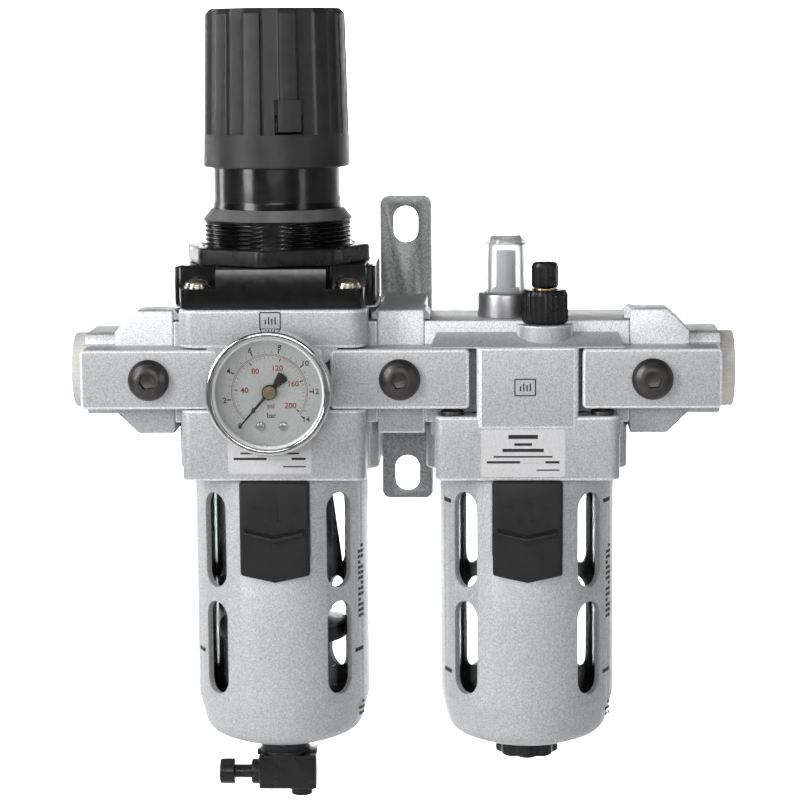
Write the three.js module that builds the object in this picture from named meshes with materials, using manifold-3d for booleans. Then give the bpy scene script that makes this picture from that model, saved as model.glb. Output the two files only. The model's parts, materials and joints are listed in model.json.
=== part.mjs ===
// Modular filter regulator and lubricator on a wall bracket.
// Millimetres. X runs along the air line, +Y points at the wall, +Z is up.
// The wall face of the bracket is Y = 0 and the port axis is Z = 0.
import * as THREE from 'three';
import { mergeVertices } from 'three/addons/utils/BufferGeometryUtils.js';
import Module from 'manifold-3d';

const wasm = await Module();
wasm.setup();

// ---- driving dimensions -------------------------------------------------
const UNIT_PITCH = 86.3; // between the two bowl axes
const UNIT_WIDTH = 70; // between the joint faces of one unit
const AXIS_Y = -40; // bowl axes, measured from the wall
const HALF_DEPTH = 31.2; // body front and back, from the bowl axis
const PORT_RADIUS = 7;
const JOINT_GAP = 0.1; // between parts bolted face to face
const RUN_GAP = 0.3; // between parts that move on each other

const FLANGE_DEPTH = 36;
const FLANGE_HEIGHT = 35;
const FRONT_Y = AXIS_Y - HALF_DEPTH;
const JOINT_FRONT_Y = AXIS_Y - FLANGE_DEPTH / 2;
const REG_X = -UNIT_PITCH / 2;
const LUB_X = UNIT_PITCH / 2;

const SKIRT_BOTTOM = -35.8;
const BOWL_SEAT = -14; // roof of the bowl bore
const NECK_RADIUS = 27.7; // top of the guard, inside the body
const BORE_RADIUS = NECK_RADIUS + RUN_GAP;
const GUARD_RADIUS = 30.5;
const GUARD_WALL = 2.4;
const GUARD_TOP = SKIRT_BOTTOM - 0.5;
const GUARD_BOTTOM = -132;
const BOWL_RADIUS = 25.9;
const BOWL_WALL = 1.7;
const BOWL_TOP = -20.4;
const DRAIN_HOLE = 9.1;
const DRAIN_Z = -146.9; // axis of the push drain
const DRAIN_OUTLET_X = 5.6;

const LOCK_WIDTH = 23.8;
const LOCK_TOP = GUARD_TOP - 0.4;
const LOCK_BOTTOM = -68.4;
const LOCK_STEP = -57.7; // below this the button rides on the outside of the guard
const LOCK_TRAVEL = 4;

const BODY_TOP = 23; // regulator body, under the bonnet
const BONNET_SCREW = 25.6; // from the bowl axis, both ways
const BONNET_TOP = 37;
const COLLAR_RADIUS = 26; // panel mounting thread
const BUTTON_BORE = 2.7;
const KNOB_NECK_RADIUS = 22.2;
const NECK_TOP = 82;
const KNOB_BOTTOM = 69.8;
const KNOB_HEIGHT = 54;
const KNOB_RADIUS = 25.4;
const KNOB_TOP_RADIUS = 24.1;
const FLUTES = 12;
const LATCH_ANGLE = 15.5; // degrees to the right of the front

const GAUGE_RADIUS = 20.9;
const GAUGE_FRONT = -88;
const GAUGE_Z = -3.5;

const CLAMP_LENGTH = 47;
const CLAMP_HEIGHT = 20.3;
const CLAMP_Z = -0.85;
const CLAMP_X = 85.2;

const BLOCK_HALF_HEIGHT = 21.3; // adapters and spacer
const END_BOSS_X = 109.6;
const END_BOSS_Z = -1.2; // the threaded ends sit a little low on the adapters
const DOME_X = LUB_X - 7.1;
const DOME_Y = AXIS_Y - 2;
const LUB_TOP = FLANGE_HEIGHT / 2;
const FILL_X = LUB_X + 6.1;
const FILL_Y = AXIS_Y - 18;
const FILL_TOP = 16.5;

// Sides of the round parts, by size.
const LARGE = 32;
const MEDIUM = 20;
const SMALL = 8;

// ---- finishes -----------------------------------------------------------
const finish = (color, roughness, metalness) => ({ color, roughness, metalness });
const SILVER = finish(0xb9bcc0, 0.45, 0.6);
const STEEL = finish(0x8f9194, 0.5, 0.8);
const BRIGHT = finish(0xc9c9c6, 0.2, 0.95);
const BLACK_OXIDE = finish(0x1b1b1d, 0.4, 0.6);
const BLACK = finish(0x161617, 0.5, 0.0);
const GLOSS_BLACK = finish(0x0c0c0d, 0.15, 0.0);
const CLEAR = finish(0xdfe6e6, 0.05, 0.0);
const WHITE = finish(0xe8e6df, 0.6, 0.0);
const RUBBER = finish(0x101011, 0.85, 0.0);
const BRASS = finish(0xb08d4a, 0.3, 0.9);
const PAPER = finish(0xd4d6d5, 0.5, 0.1);
const DARK_GREY = finish(0x2a2a2a, 0.4, 0.0);

// ---- solid building helpers ---------------------------------------------
function signedVolume(position, index) {
  const corner = [new THREE.Vector3(), new THREE.Vector3(), new THREE.Vector3()];
  let volume = 0;
  for (let i = 0; i < index.length; i += 3) {
    corner.forEach((point, k) => point.fromArray(position, 3 * index[i + k]));
    volume += corner[0].dot(corner[1].clone().cross(corner[2]));
  }
  return volume;
}

function solid(geometry) {
  geometry.deleteAttribute('normal');
  geometry.deleteAttribute('uv');
  const merged = mergeVertices(geometry, 1e-4);
  const position = merged.attributes.position.array;
  const triangles = [];
  for (let i = 0; i < merged.index.count; i += 3) {
    const [a, b, c] = [0, 1, 2].map((k) => merged.index.getX(i + k));
    if (a !== b && b !== c && c !== a) triangles.push(a, b, c);
  }
  if (signedVolume(position, triangles) < 0) triangles.reverse();
  return new wasm.Manifold(new wasm.Mesh({
    numProp: 3,
    vertProperties: new Float32Array(position),
    triVerts: new Uint32Array(triangles),
  }));
}

const join = (first, ...others) => others.reduce((sum, other) => sum.add(other), first);
const cut = (first, ...others) => others.reduce((rest, other) => rest.subtract(other), first);

function box(x0, x1, y0, y1, z0, z1) {
  const shape = new THREE.BoxGeometry(x1 - x0, y1 - y0, z1 - z0);
  return solid(shape.translate((x0 + x1) / 2, (y0 + y1) / 2, (z0 + z1) / 2));
}

// A turned part on a vertical axis; the profile is a list of [radius, height].
function turned(profile, x = 0, y = 0, segments = MEDIUM) {
  const points = profile.map(([radius, height]) => new THREE.Vector2(radius, height));
  const shape = new THREE.LatheGeometry(points, segments).rotateX(Math.PI / 2);
  return solid(shape.translate(x, y, 0));
}

const rod = (radius, z0, z1, x = 0, y = 0, segments = MEDIUM) =>
  turned([[0, z0], [radius, z0], [radius, z1], [0, z1]], x, y, segments);

const tube = (outer, inner, z0, z1, x = 0, y = 0, segments = MEDIUM) =>
  turned([[inner, z0], [outer, z0], [outer, z1], [inner, z1], [inner, z0]], x, y, segments);

// Turns a part made on the Z axis so that its axis runs along +X or towards the front.
const alongX = (part) => part.rotate([0, 90, 0]);
const toFront = (part) => part.rotate([90, 0, 0]);

const rodX = (radius, x0, x1, y = AXIS_Y, z = 0, segments = MEDIUM) =>
  alongX(rod(radius, x0, x1, 0, 0, segments)).translate([0, y, z]);

// An outline with rounded corners, centred on the origin.
function roundedOutline(width, height, radius) {
  const [w, h] = [width / 2 - radius, height / 2 - radius];
  const outline = new THREE.Shape();
  [[w, -h, -90], [w, h, 0], [-w, h, 90], [-w, -h, 180]].forEach(([x, y, start]) => {
    const from = THREE.MathUtils.degToRad(start);
    outline.absarc(x, y, radius, from, from + Math.PI / 2);
  });
  return outline;
}

function extruded(outline, z0, z1, curveSegments = 3) {
  const options = { depth: z1 - z0, bevelEnabled: false, curveSegments };
  return solid(new THREE.ExtrudeGeometry(outline, options).translate(0, 0, z0));
}

const slab = (width, depth, radius, z0, z1, x = 0, y = AXIS_Y) =>
  extruded(roundedOutline(width, depth, radius), z0, z1).translate([x, y, 0]);

// An outline drawn in X and Z, with its thickness between two Y planes.
const plate = (outline, y0, y1) =>
  extruded(outline, -y1, -y0).rotate([90, 0, 0]);

function polygon(points) {
  return new THREE.Shape(points.map(([x, y]) => new THREE.Vector2(x, y)));
}

const around = (count, part, angle0 = 0) =>
  Array.from({ length: count }, (_, i) => part.rotate([0, 0, angle0 + (360 / count) * i]));

class Helix extends THREE.Curve {
  constructor(radius, turns, z0, z1) {
    super();
    Object.assign(this, { radius, turns, z0, z1 });
  }

  getPoint(t, target = new THREE.Vector3()) {
    const angle = 2 * Math.PI * this.turns * t;
    const z = this.z0 + (this.z1 - this.z0) * t;
    return target.set(this.radius * Math.cos(angle), this.radius * Math.sin(angle), z);
  }
}

// A compression spring standing between two heights.
function spring(radius, wire, turns, z0, z1) {
  const section = new THREE.Shape().absarc(0, 0, wire / 2, 0, 2 * Math.PI);
  const extrudePath = new Helix(radius, turns, z0 + wire / 2, z1 - wire / 2);
  const options = { steps: turns * SMALL, curveSegments: 3, extrudePath };
  return solid(new THREE.ExtrudeGeometry(section, options));
}

const ringSeal = (radius, thickness, z = 0) =>
  solid(new THREE.TorusGeometry(radius, thickness / 2, 5, MEDIUM).translate(0, 0, z));

const group = new THREE.Group();
group.name = 'filter_regulator_lubricator';

function place(name, part, look) {
  const { vertProperties, triVerts } = part.getMesh();
  const geometry = new THREE.BufferGeometry();
  geometry.setAttribute('position', new THREE.BufferAttribute(vertProperties, 3));
  geometry.setIndex(new THREE.BufferAttribute(triVerts, 1));
  const mesh = new THREE.Mesh(geometry, new THREE.MeshStandardMaterial(look));
  mesh.name = name;
  group.add(mesh);
}

// ---- both bodies --------------------------------------------------------
// Everything the two castings share, on a bowl axis at the origin.
function unitCasting(skirtTop) {
  const half = UNIT_WIDTH / 2;
  const flange = box(-half, half, -FLANGE_DEPTH / 2, FLANGE_DEPTH / 2,
    -FLANGE_HEIGHT / 2, FLANGE_HEIGHT / 2);
  const waist = box(-half + 2, half - 2, -FLANGE_DEPTH / 2 + 0.6, HALF_DEPTH - 3, -22, 12);
  const boss = slab(34.4, 2 * HALF_DEPTH + 1.6, 2, skirtTop - 1, 9.9, 0, 0)
    .subtract(box(-20, 20, 0, 40, -40, 40));
  const skirt = slab(2 * HALF_DEPTH + 0.4, 2 * HALF_DEPTH, 9, SKIRT_BOTTOM, skirtTop, 0, 0);
  const wings = slab(UNIT_WIDTH, 38, 5, SKIRT_BOTTOM + 0.6, -15, 0, 9);
  return join(flange, waist, boss, skirt, wings);
}

// The bore the bowl turns in, with a wider mouth for the lock tongue.
const bowlBore = () => turned([[0, SKIRT_BOTTOM - 1], [BORE_RADIUS + 1.6, SKIRT_BOTTOM - 1],
  [BORE_RADIUS + 1.6, -30], [BORE_RADIUS, -30], [BORE_RADIUS, BOWL_SEAT], [0, BOWL_SEAT]], 0, 0, LARGE);

// Grooves for the ring seals in the two joint faces.
function sealGrooves() {
  const groove = alongX(tube(11, 8, -2.6, 1));
  const half = UNIT_WIDTH / 2;
  return [groove.translate([half, 0, 0]), groove.mirror([1, 0, 0]).translate([-half, 0, 0])];
}

function port(x0, x1) {
  return alongX(rod(PORT_RADIUS, x0, x1));
}

// ---- regulator ----------------------------------------------------------
function regulatorBody() {
  const head = slab(64, 64, 6, 9.9, BODY_TOP, 0, 0);
  const core = rod(24, -13, 10);
  const inlet = join(port(-36, -18), rod(5, -15, 3, -19, 0));
  const seat = join(rod(9, -15, 0), rod(5.6, -1, 5), rod(12, 4, 11));
  const outlet = join(port(14, 36), rod(4, 0, 5, 15, 0), alongX(rod(4, 10, 18)).translate([0, 0, 6]));
  const diaphragmWell = join(rod(2.5, 10, 21), rod(22, 20, 24));
  const gaugeHole = toFront(rod(5.2, 16, 40)).translate([0, 0, GAUGE_Z]);
  const screwHoles = around(4, rod(2.3, 12, 24, BONNET_SCREW, BONNET_SCREW, SMALL));
  return cut(join(unitCasting(-11.3), core, head), bowlBore(), ...sealGrooves(), inlet, seat,
    outlet, diaphragmWell, gaugeHole, ...screwHoles).translate([REG_X, AXIS_Y, 0]);
}

function bonnet() {
  const front = slab(62.6, 64, 5, BODY_TOP + JOINT_GAP, BONNET_TOP, 0, 0);
  const cheeks = slab(69.4, 36, 8, BODY_TOP + JOINT_GAP, BONNET_TOP - 1, 0, 0);
  const collar = turned([[0, BONNET_TOP - 1], [COLLAR_RADIUS, BONNET_TOP - 1],
    [COLLAR_RADIUS, 51.9], [KNOB_NECK_RADIUS, 55.7], [KNOB_NECK_RADIUS, NECK_TOP],
    [0, NECK_TOP]], 0, 0, LARGE);
  const pocket = box(18.6, 33, 18.6, 33, 30, 40);
  const key = box(-5.8, 5.8, -30, 0.9 - COLLAR_RADIUS, BONNET_TOP + 5, 56);
  const screwHole = rod(2.3, 20, 31, BONNET_SCREW, BONNET_SCREW, SMALL);
  const inside = join(rod(19, 20, 60), rod(4.6, 59, 67), rod(18, 66, 90));
  return cut(join(front, cheeks, collar), inside, key, ...around(4, pocket),
    ...around(4, screwHole)).translate([REG_X, AXIS_Y, 0]);
}

function panScrew() {
  const seat = 30.1;
  const head = turned([[0, seat - 16], [2, seat - 16], [2, seat], [3.9, seat], [3.9, seat + 1.4],
    [2.6, seat + 2.6], [0, seat + 2.9]], 0, 0, SMALL);
  const cross = join(box(-2.2, 2.2, -0.5, 0.5, seat + 1.2, seat + 4),
    box(-0.5, 0.5, -2.2, 2.2, seat + 1.2, seat + 4));
  return head.subtract(cross);
}

function panelNut() {
  const [acrossFlats, z0, z1, bevel] = [60, BONNET_TOP + 0.1, BONNET_TOP + 5.9, 1.2];
  const corner = acrossFlats / 2 / Math.cos(Math.PI / 8);
  const octagon = turned([[0, z0], [corner, z0], [corner, z1], [0, z1]], 0, 0, 8);
  const bevelled = turned([[0, z0], [corner - bevel, z0], [corner, z0 + bevel],
    [corner, z1 - bevel], [corner - bevel, z1], [0, z1]], 0, 0, LARGE);
  return octagon.rotate([0, 0, -12]).intersect(bevelled)
    .subtract(rod(COLLAR_RADIUS + RUN_GAP, z0 - 1, z1 + 1, 0, 0, LARGE))
    .translate([REG_X, AXIS_Y, 0]);
}

// The latch in the side of the knob; its pocket is the same block with no gap taken off.
function latchBlock(gap) {
  const half = 4.8 - gap;
  return box(-half, half, gap - 0.8 - KNOB_RADIUS, 3 - gap - KNOB_RADIUS, 81.4 + gap, 93.2 - gap)
    .rotate([0, 0, LATCH_ANGLE]);
}

function knob() {
  const top = KNOB_BOTTOM + KNOB_HEIGHT;
  const bandTop = KNOB_BOTTOM + 11.3;
  const shell = turned([[0, KNOB_BOTTOM], [KNOB_RADIUS - 0.6, KNOB_BOTTOM],
    [KNOB_RADIUS, KNOB_BOTTOM + 0.6], [KNOB_TOP_RADIUS + 0.2, top - 1.8],
    [KNOB_TOP_RADIUS - 1.6, top], [0, top]], 0, 0, LARGE);
  const flute = rod(3.2, bandTop, top + 1, 0, 1.9 - KNOB_RADIUS - 3.2, 8);
  const hollow = turned([[0, KNOB_BOTTOM - 1], [22.9, KNOB_BOTTOM - 1], [22.9, 88], [5.4, 88],
    [5.4, 116], [0, 116]]);
  return cut(shell, hollow, ...around(FLUTES, flute, -4), latchBlock(0));
}

function regulatorParts() {
  const onAxis = (part) => part.translate([REG_X, AXIS_Y, 0]);
  place('reg_body', regulatorBody(), SILVER);
  place('bonnet', bonnet(), GLOSS_BLACK);
  [[1, -1], [1, 1], [-1, 1], [-1, -1]].forEach(([sideX, sideY], i) => {
    const screw = panScrew().translate([BONNET_SCREW * sideX, BONNET_SCREW * sideY, 0]);
    place(`bonnet_screw_${i + 1}`, onAxis(screw), BRIGHT);
  });
  place('panel_nut', panelNut(), BLACK);
  place('knob', onAxis(knob()), BLACK);
  place('knob_latch', onAxis(latchBlock(RUN_GAP)), BLACK);
  place('adjusting_screw', onAxis(turned([[0, 29], [3.9, 29], [3.9, 66.3], [8, 66.3], [8, 68.3],
    [5, 68.3], [5, 108], [0, 108]])), STEEL);
  place('spring_seat', onAxis(turned([[4.2, 48], [8, 48], [8, 50], [15, 50], [15, 53], [4.2, 53],
    [4.2, 48]])), BRASS);
  place('main_spring', onAxis(spring(11.5, 2.8, 5, 25.9, 49.7)), STEEL);
  place('diaphragm', onAxis(turned([[0, 20.3], [21.6, 20.3], [21.6, 22.7], [17, 22.7],
    [16, 25.6], [9, 25.6], [9, 27.4], [3.5, 27.4], [3.5, 25], [0, 25]])), RUBBER);
  place('valve_poppet', onAxis(turned([[0, -8], [2, -8], [2, -3.2], [7.4, -3.2], [7.4, -0.4],
    [2, -0.4], [2, 20], [0, 20]])), BRASS);
  place('valve_spring', onAxis(spring(4.4, 1, 4, -10.6, -3.5)), STEEL);
}

// ---- filter -------------------------------------------------------------
function louver() {
  const disc = tube(23.9, 6, -19, -16);
  const hub = cut(rod(8.6, -19, -8.5), rod(6.4, -10.9, -8), rod(2.9, -20, -13.5),
    ...around(4, rod(1.2, -20, -10, 4.6, 0, 8), 45));
  const vaneGap = box(16.5, 26, -0.9, 0.9, -25, -10).rotate([35, 0, 0]).translate([0, -9.9, -9]);
  return cut(join(disc, hub), ...around(8, vaneGap));
}

function filterParts() {
  const onAxis = (part) => part.translate([REG_X, AXIS_Y, 0]);
  place('louver', onAxis(louver()), BLACK);
  place('filter_element', onAxis(tube(15, 10.5, -84, -19.3)), WHITE);
  place('baffle', onAxis(turned([[0, -91.6], [9, -91.6], [21, -95.8], [22.8, -95.8],
    [22.8, -91.4], [13, -87], [16.5, -84.3], [2.4, -84.3], [2.4, -13.8], [0, -13.8]])), BLACK);
}

// ---- bowls --------------------------------------------------------------
function bowl() {
  const inner = BOWL_RADIUS - BOWL_WALL;
  return turned([[5, -129.4], [18, -129.4], [BOWL_RADIUS, -120], [BOWL_RADIUS, -22.7],
    [NECK_RADIUS, -22.7], [NECK_RADIUS, BOWL_TOP], [inner, BOWL_TOP], [inner, -119.4],
    [17, -127.4], [5, -127.4], [5, -129.4]], 0, 0, LARGE);
}

// A long window with round ends, cut straight out through the guard wall.
function guardWindow(z0, z1) {
  const width = 11;
  const outline = roundedOutline(width, z1 - z0, width / 2 - 0.01);
  return toFront(extruded(outline, 20, 40, 2)).translate([0, 0, (z0 + z1) / 2]);
}

function lockPocket() {
  const half = LOCK_WIDTH / 2 + RUN_GAP;
  return box(-half, half, -40, 3.1 - GUARD_RADIUS, LOCK_STEP - LOCK_TRAVEL - 0.6, GUARD_TOP + 1);
}

function guard() {
  const inner = GUARD_RADIUS - GUARD_WALL;
  const shell = turned([[DRAIN_HOLE, GUARD_BOTTOM], [22, GUARD_BOTTOM], [26.6, -130.2],
    [29.6, -125.8], [GUARD_RADIUS, -119], [GUARD_RADIUS, GUARD_TOP], [NECK_RADIUS, GUARD_TOP],
    [NECK_RADIUS, -23], [NECK_RADIUS - 1.5, -23], [NECK_RADIUS - 1.5, GUARD_TOP - 2],
    [inner, GUARD_TOP - 4], [inner, -119.5], [22.4, -129.8], [DRAIN_HOLE, -129.8],
    [DRAIN_HOLE, GUARD_BOTTOM]], 0, 0, LARGE);
  const windows = [[-74.6, -41.3], [-112.6, -79.6]].flatMap(([z0, z1]) =>
    around(4, guardWindow(z0, z1), 45));
  return cut(shell, ...windows, lockPocket());
}

// The sliding catch: a shield with a pointed foot, a finger ledge and a tongue on top.
function lockButton() {
  const [half, back] = [LOCK_WIDTH / 2, 3.1 - GUARD_RADIUS - RUN_GAP];
  const shield = plate(polygon([[-half, LOCK_TOP], [-half, LOCK_BOTTOM], [0, LOCK_BOTTOM - 2.6],
    [half, LOCK_BOTTOM], [half, LOCK_TOP]]), -32.4, back);
  const ledge = plate(polygon([[-half + 1.5, -54.4], [0, -56.6], [half - 1.5, -54.4],
    [half - 1.5, -52.6], [-half + 1.5, -52.6]]), -34.2, -32);
  const tongue = box(-3.5, 3.5, -29, -28, LOCK_TOP - 1, -31);
  const guardRoom = turned([[0, -100], [GUARD_RADIUS + RUN_GAP, -100],
    [GUARD_RADIUS + RUN_GAP, LOCK_STEP], [GUARD_RADIUS - 2.2, LOCK_STEP],
    [GUARD_RADIUS - 2.2, GUARD_TOP - 1], [BORE_RADIUS, GUARD_TOP - 1], [BORE_RADIUS, 0],
    [0, 0]], 0, 0, LARGE);
  return join(shield, ledge, tongue).subtract(guardRoom);
}

function bowlParts(prefix, x) {
  const onAxis = (part) => part.translate([x, AXIS_Y, 0]);
  place(`${prefix}_bowl`, onAxis(bowl()), CLEAR);
  place(`${prefix}_guard`, onAxis(guard()), SILVER);
  place(`${prefix}_lock_button`, onAxis(lockButton()), BLACK);
  place(`${prefix}_bowl_seal`, onAxis(ringSeal(26, 2, BOWL_TOP + 1.2)), RUBBER);
}

function drainParts() {
  const onAxis = (part) => part.translate([REG_X, AXIS_Y, 0]);
  const neck = turned([[0, -140], [8.7, -140], [8.7, -130], [4.7, -130],
    [4.7, -124.4], [0, -124.4]]);
  const block = slab(21.5, 16, 2, -151.3, -139, 0.65, 0);
  const lugs = box(-11.3, 11.3, -3, 3, -140.6, -138.4);
  const outlet = rod(3.9, -155, -150, DRAIN_OUTLET_X, 0, 16);
  const collar = rodX(4.5, -12.2, -9, 0, DRAIN_Z, 16);
  const bore = rodX(BUTTON_BORE, -14, -4, 0, DRAIN_Z, 16);
  const channel = join(rod(1.6, -160, -146, DRAIN_OUTLET_X, 0, SMALL), rodX(1.6, -5, 6, 0, DRAIN_Z, SMALL),
    rod(1.6, DRAIN_Z, -124, 0, 0, SMALL));
  place('drain_body', onAxis(cut(join(neck, block, lugs, outlet, collar), bore, channel)), BLACK);
  const stem = rodX(BUTTON_BORE - RUN_GAP, -18.5, -8.2, 0, DRAIN_Z, 16);
  const head = rodX(4.55, -23.6, -18, 0, DRAIN_Z, 16);
  place('drain_button', onAxis(join(stem, head)), BLACK);
}

// ---- pressure gauge -----------------------------------------------------
function gaugeParts() {
  // Made with the dial facing up, then turned to the front.
  const face = (part) => toFront(part).translate([REG_X, 0, GAUGE_Z]);
  const front = -GAUGE_FRONT;
  place('gauge_case', face(turned([[0, 62], [4.9, 62], [4.9, 73], [7, 73], [7, 75], [19.6, 75.6],
    [20.4, 77], [20.4, front - 1.6], [19, front - 1.6], [19, 78.5], [0, 78.5]], 0, 0, LARGE)), BLACK_OXIDE);
  place('gauge_bezel', face(turned([[20.7, 79.5], [GAUGE_RADIUS, 79.5], [GAUGE_RADIUS, front - 1],
    [GAUGE_RADIUS - 0.9, front], [19.4, front], [18.2, front - 1.3], [20.7, front - 1.3],
    [20.7, 79.5]], 0, 0, LARGE)), BRIGHT);
  place('gauge_lens', face(rod(18.7, front - 2.9, front - 1.5, 0, 0, LARGE)), CLEAR);
  place('gauge_dial', face(rod(18.7, 81, 81.8, 0, 0, LARGE)), PAPER);
  // The pointer rests at zero, low on the left.
  const needle = plate(polygon([[-2.6, -7.2], [2.6, -7.2], [0.9, 0], [0.2, 16.2], [-0.2, 16.2],
    [-0.9, 0]]), -83.6, -83);
  const hub = toFront(rod(2.4, 82.1, 84.2, 0, 0, SMALL));
  place('gauge_pointer', join(needle, hub).rotate([0, -139, 0]).translate([REG_X, 0, GAUGE_Z]), DARK_GREY);
}

// ---- lubricator ---------------------------------------------------------
// What is cut away to slope a top face down towards the wall, in Y and Z from the bowl axis.
const rearSlope = (y, z, drop) =>
  extruded(polygon([[y, z], [y, z + 5], [40, z + 5], [40, z - drop]]), -120, 120)
    .rotate([90, 0, 90]);

function lubricatorBody() {
  const crown = cut(slab(69, 46, 4, 0, LUB_TOP, 0, 6), rearSlope(10, LUB_TOP, 10));
  const shoulder = polygon([[-8, 9.5], [-30.4, 9.5], [-30.4, 9.9], [-16, 14], [-8, 14]]);
  const shelf = extruded(shoulder, -31, 31).rotate([90, 0, 90]);
  const fill = rod(9.7, 0, FILL_TOP, FILL_X - LUB_X, FILL_Y - AXIS_Y);
  const core = rod(24, -13.9, 10);
  const overClamp = cut(box(-40, 40, -40, -FLANGE_DEPTH / 2 + 0.6, -10.5, 9.5),
    box(-17.2, 17.2, -41, 0, -40, 40));
  const casting = cut(join(unitCasting(-13.8), crown, shelf, fill, core), overClamp);
  const domeWell = rod(3, 5, 20, DOME_X - LUB_X, DOME_Y - AXIS_Y);
  const siphonHole = rod(2.5, -20, 12, DOME_X - LUB_X - 2.6, DOME_Y - AXIS_Y - 8, SMALL);
  const fillHole = rod(4.6, -20, 20, FILL_X - LUB_X, FILL_Y - AXIS_Y);
  const spotFace = rod(9.7, FILL_TOP, 20, FILL_X - LUB_X, FILL_Y - AXIS_Y);
  return cut(casting, bowlBore(), ...sealGrooves(), port(-36, 36), domeWell, siphonHole, fillHole,
    spotFace).translate([LUB_X, AXIS_Y, 0]);
}

function lubricatorParts() {
  place('lub_body', lubricatorBody(), SILVER);
  const base = LUB_TOP + JOINT_GAP;
  place('sight_base', turned([[3, base], [9.8, base], [9.8, 24.6], [8.8, 25.9], [3, 25.9],
    [3, base]], DOME_X, DOME_Y), BRIGHT);
  place('sight_dome', turned([[5.6, 26], [7.2, 26], [7.2, 40.4], [6.6, 42.9], [4.6, 44.9],
    [0, 45.7], [0, 44], [3.8, 43.3], [5.2, 41.9], [5.6, 40], [5.6, 26]], DOME_X, DOME_Y), CLEAR);
  place('drip_tube', turned([[1, 22], [2.6, 22], [2.6, 26.2], [5, 26.2], [5, 27.6], [1.8, 27.6],
    [1.8, 37], [1, 37], [1, 22]], DOME_X, DOME_Y, SMALL), BLACK);
  place('siphon_tube', join(tube(2.1, 1.2, -124, 10, 0, 0, SMALL), tube(4, 1.2, -126, -118, 0, 0, SMALL))
    .translate([DOME_X - 2.6, DOME_Y - 8, 0]), WHITE);

  const cap = turned([[0, 4], [4.2, 4], [4.2, FILL_TOP + 0.3], [7, FILL_TOP + 0.3], [7.9, FILL_TOP + 1.2],
    [7.9, 27.2], [7, 28.3], [0, 28.3]]);
  const well = rod(2.3, 20, 30, 0, 0, SMALL);
  place('fill_plug', cut(cap, well).translate([FILL_X, FILL_Y, 0]), BLACK);
  place('feed_knob', turned([[0, 21], [2, 21], [2, 29], [4.6, 29], [4.6, 36.6], [3.8, 37.6],
    [0, 37.6]], FILL_X, FILL_Y), BLACK);

  const flap = cut(rodX(6.4, -0.4, 0.4, 0, 0), box(-2, 2, -8, 8, 5.4, 8));
  const pin = rod(0.7, -3, 3, 0, 0, 8).rotate([90, 0, 0]).translate([0, 0, 5.2]);
  place('flow_vane', join(flap, pin).translate([LUB_X, AXIS_Y, 0]), RUBBER);

  const lobes = around(8, rod(2.6, -139.5, -132.4, 8.5, 0, SMALL));
  const wheel = rod(9.6, -139.5, -132.4);
  const stem = turned([[0, -134], [8.7, -134], [8.7, -130], [4.7, -130], [4.7, -124.8],
    [0, -124.8]]);
  place('lub_drain_knob', join(wheel, stem, ...lobes).translate([LUB_X, AXIS_Y, 0]), BLACK);
}

// ---- joint hardware -----------------------------------------------------
// A small tooth on top of an end block that hooks over the flange of a unit.
const hookTooth = (x0, x1) => box(x0, x1, JOINT_FRONT_Y + 2, AXIS_Y, 18, BLOCK_HALF_HEIGHT);

function screwHoleAt(x) {
  return toFront(rod(4.2, 48, 60)).translate([x, 0, CLAMP_Z]);
}

function adapter() {
  const joint = (UNIT_PITCH + UNIT_WIDTH) / 2 + JOINT_GAP;
  const [shoulder, end, h] = [91, 98.5, BLOCK_HALF_HEIGHT];
  const block = plate(polygon([[joint, -h], [shoulder, -h], [end, 7.3 - h], [end, h - 7.3],
    [shoulder, h], [joint, h]]), JOINT_FRONT_Y, AXIS_Y + FLANGE_DEPTH / 2);
  const boss = alongX(extruded(roundedOutline(28.6, 28.4, 4), end - 1, END_BOSS_X))
    .translate([0, AXIS_Y, END_BOSS_Z]);
  return cut(join(block, boss, hookTooth(joint - 2, joint + 2)),
    rearSlope(-2, h, 14).translate([0, AXIS_Y, 0]), rodX(PORT_RADIUS, joint - 1, 100),
    rodX(9.6, 99, END_BOSS_X + 1, AXIS_Y, END_BOSS_Z), screwHoleAt(CLAMP_X));
}

function portCap() {
  const [seat, end] = [END_BOSS_X + JOINT_GAP, END_BOSS_X + 5.2];
  return alongX(turned([[0, 102], [9.2, 102], [9.2, seat], [13.2, seat], [13.2, end - 0.6],
    [12.6, end], [0, end]])).translate([0, AXIS_Y, END_BOSS_Z]);
}

// A shallow tray, open at the back, with a pad round its screw that seats on the joint.
function clampPlate() {
  const [front, back, wall] = [-FRONT_Y, -JOINT_FRONT_Y + 0.3, 2.4];
  const tray = extruded(roundedOutline(CLAMP_LENGTH, CLAMP_HEIGHT, 1.2), back, front);
  const hollow = box(wall - CLAMP_LENGTH / 2, CLAMP_LENGTH / 2 - wall,
    wall - CLAMP_HEIGHT / 2, CLAMP_HEIGHT / 2 - wall, back - 1, front - 4);
  const pad = box(-6.8, 6.8, -8, 8, -JOINT_FRONT_Y + JOINT_GAP, front - 3);
  return toFront(join(cut(tray, hollow), pad).subtract(rod(4.2, 50, 80)))
    .translate([0, 0, CLAMP_Z]);
}

// Button head screw, made pointing up and turned to the front.
function buttonScrew() {
  const seat = -FRONT_Y + 0.1;
  const dome = [[7, seat], [7, seat + 0.8], [6.2, seat + 2.4], [4.6, seat + 3.6], [3.6, seat + 4]];
  const body = turned([[0, 49], [3.9, 49], [3.9, seat], ...dome, [0, seat + 4]]);
  const socket = rod(2.89, seat + 1.4, seat + 6, 0, 0, 6);
  return toFront(body.subtract(socket)).translate([0, 0, CLAMP_Z]);
}

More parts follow.
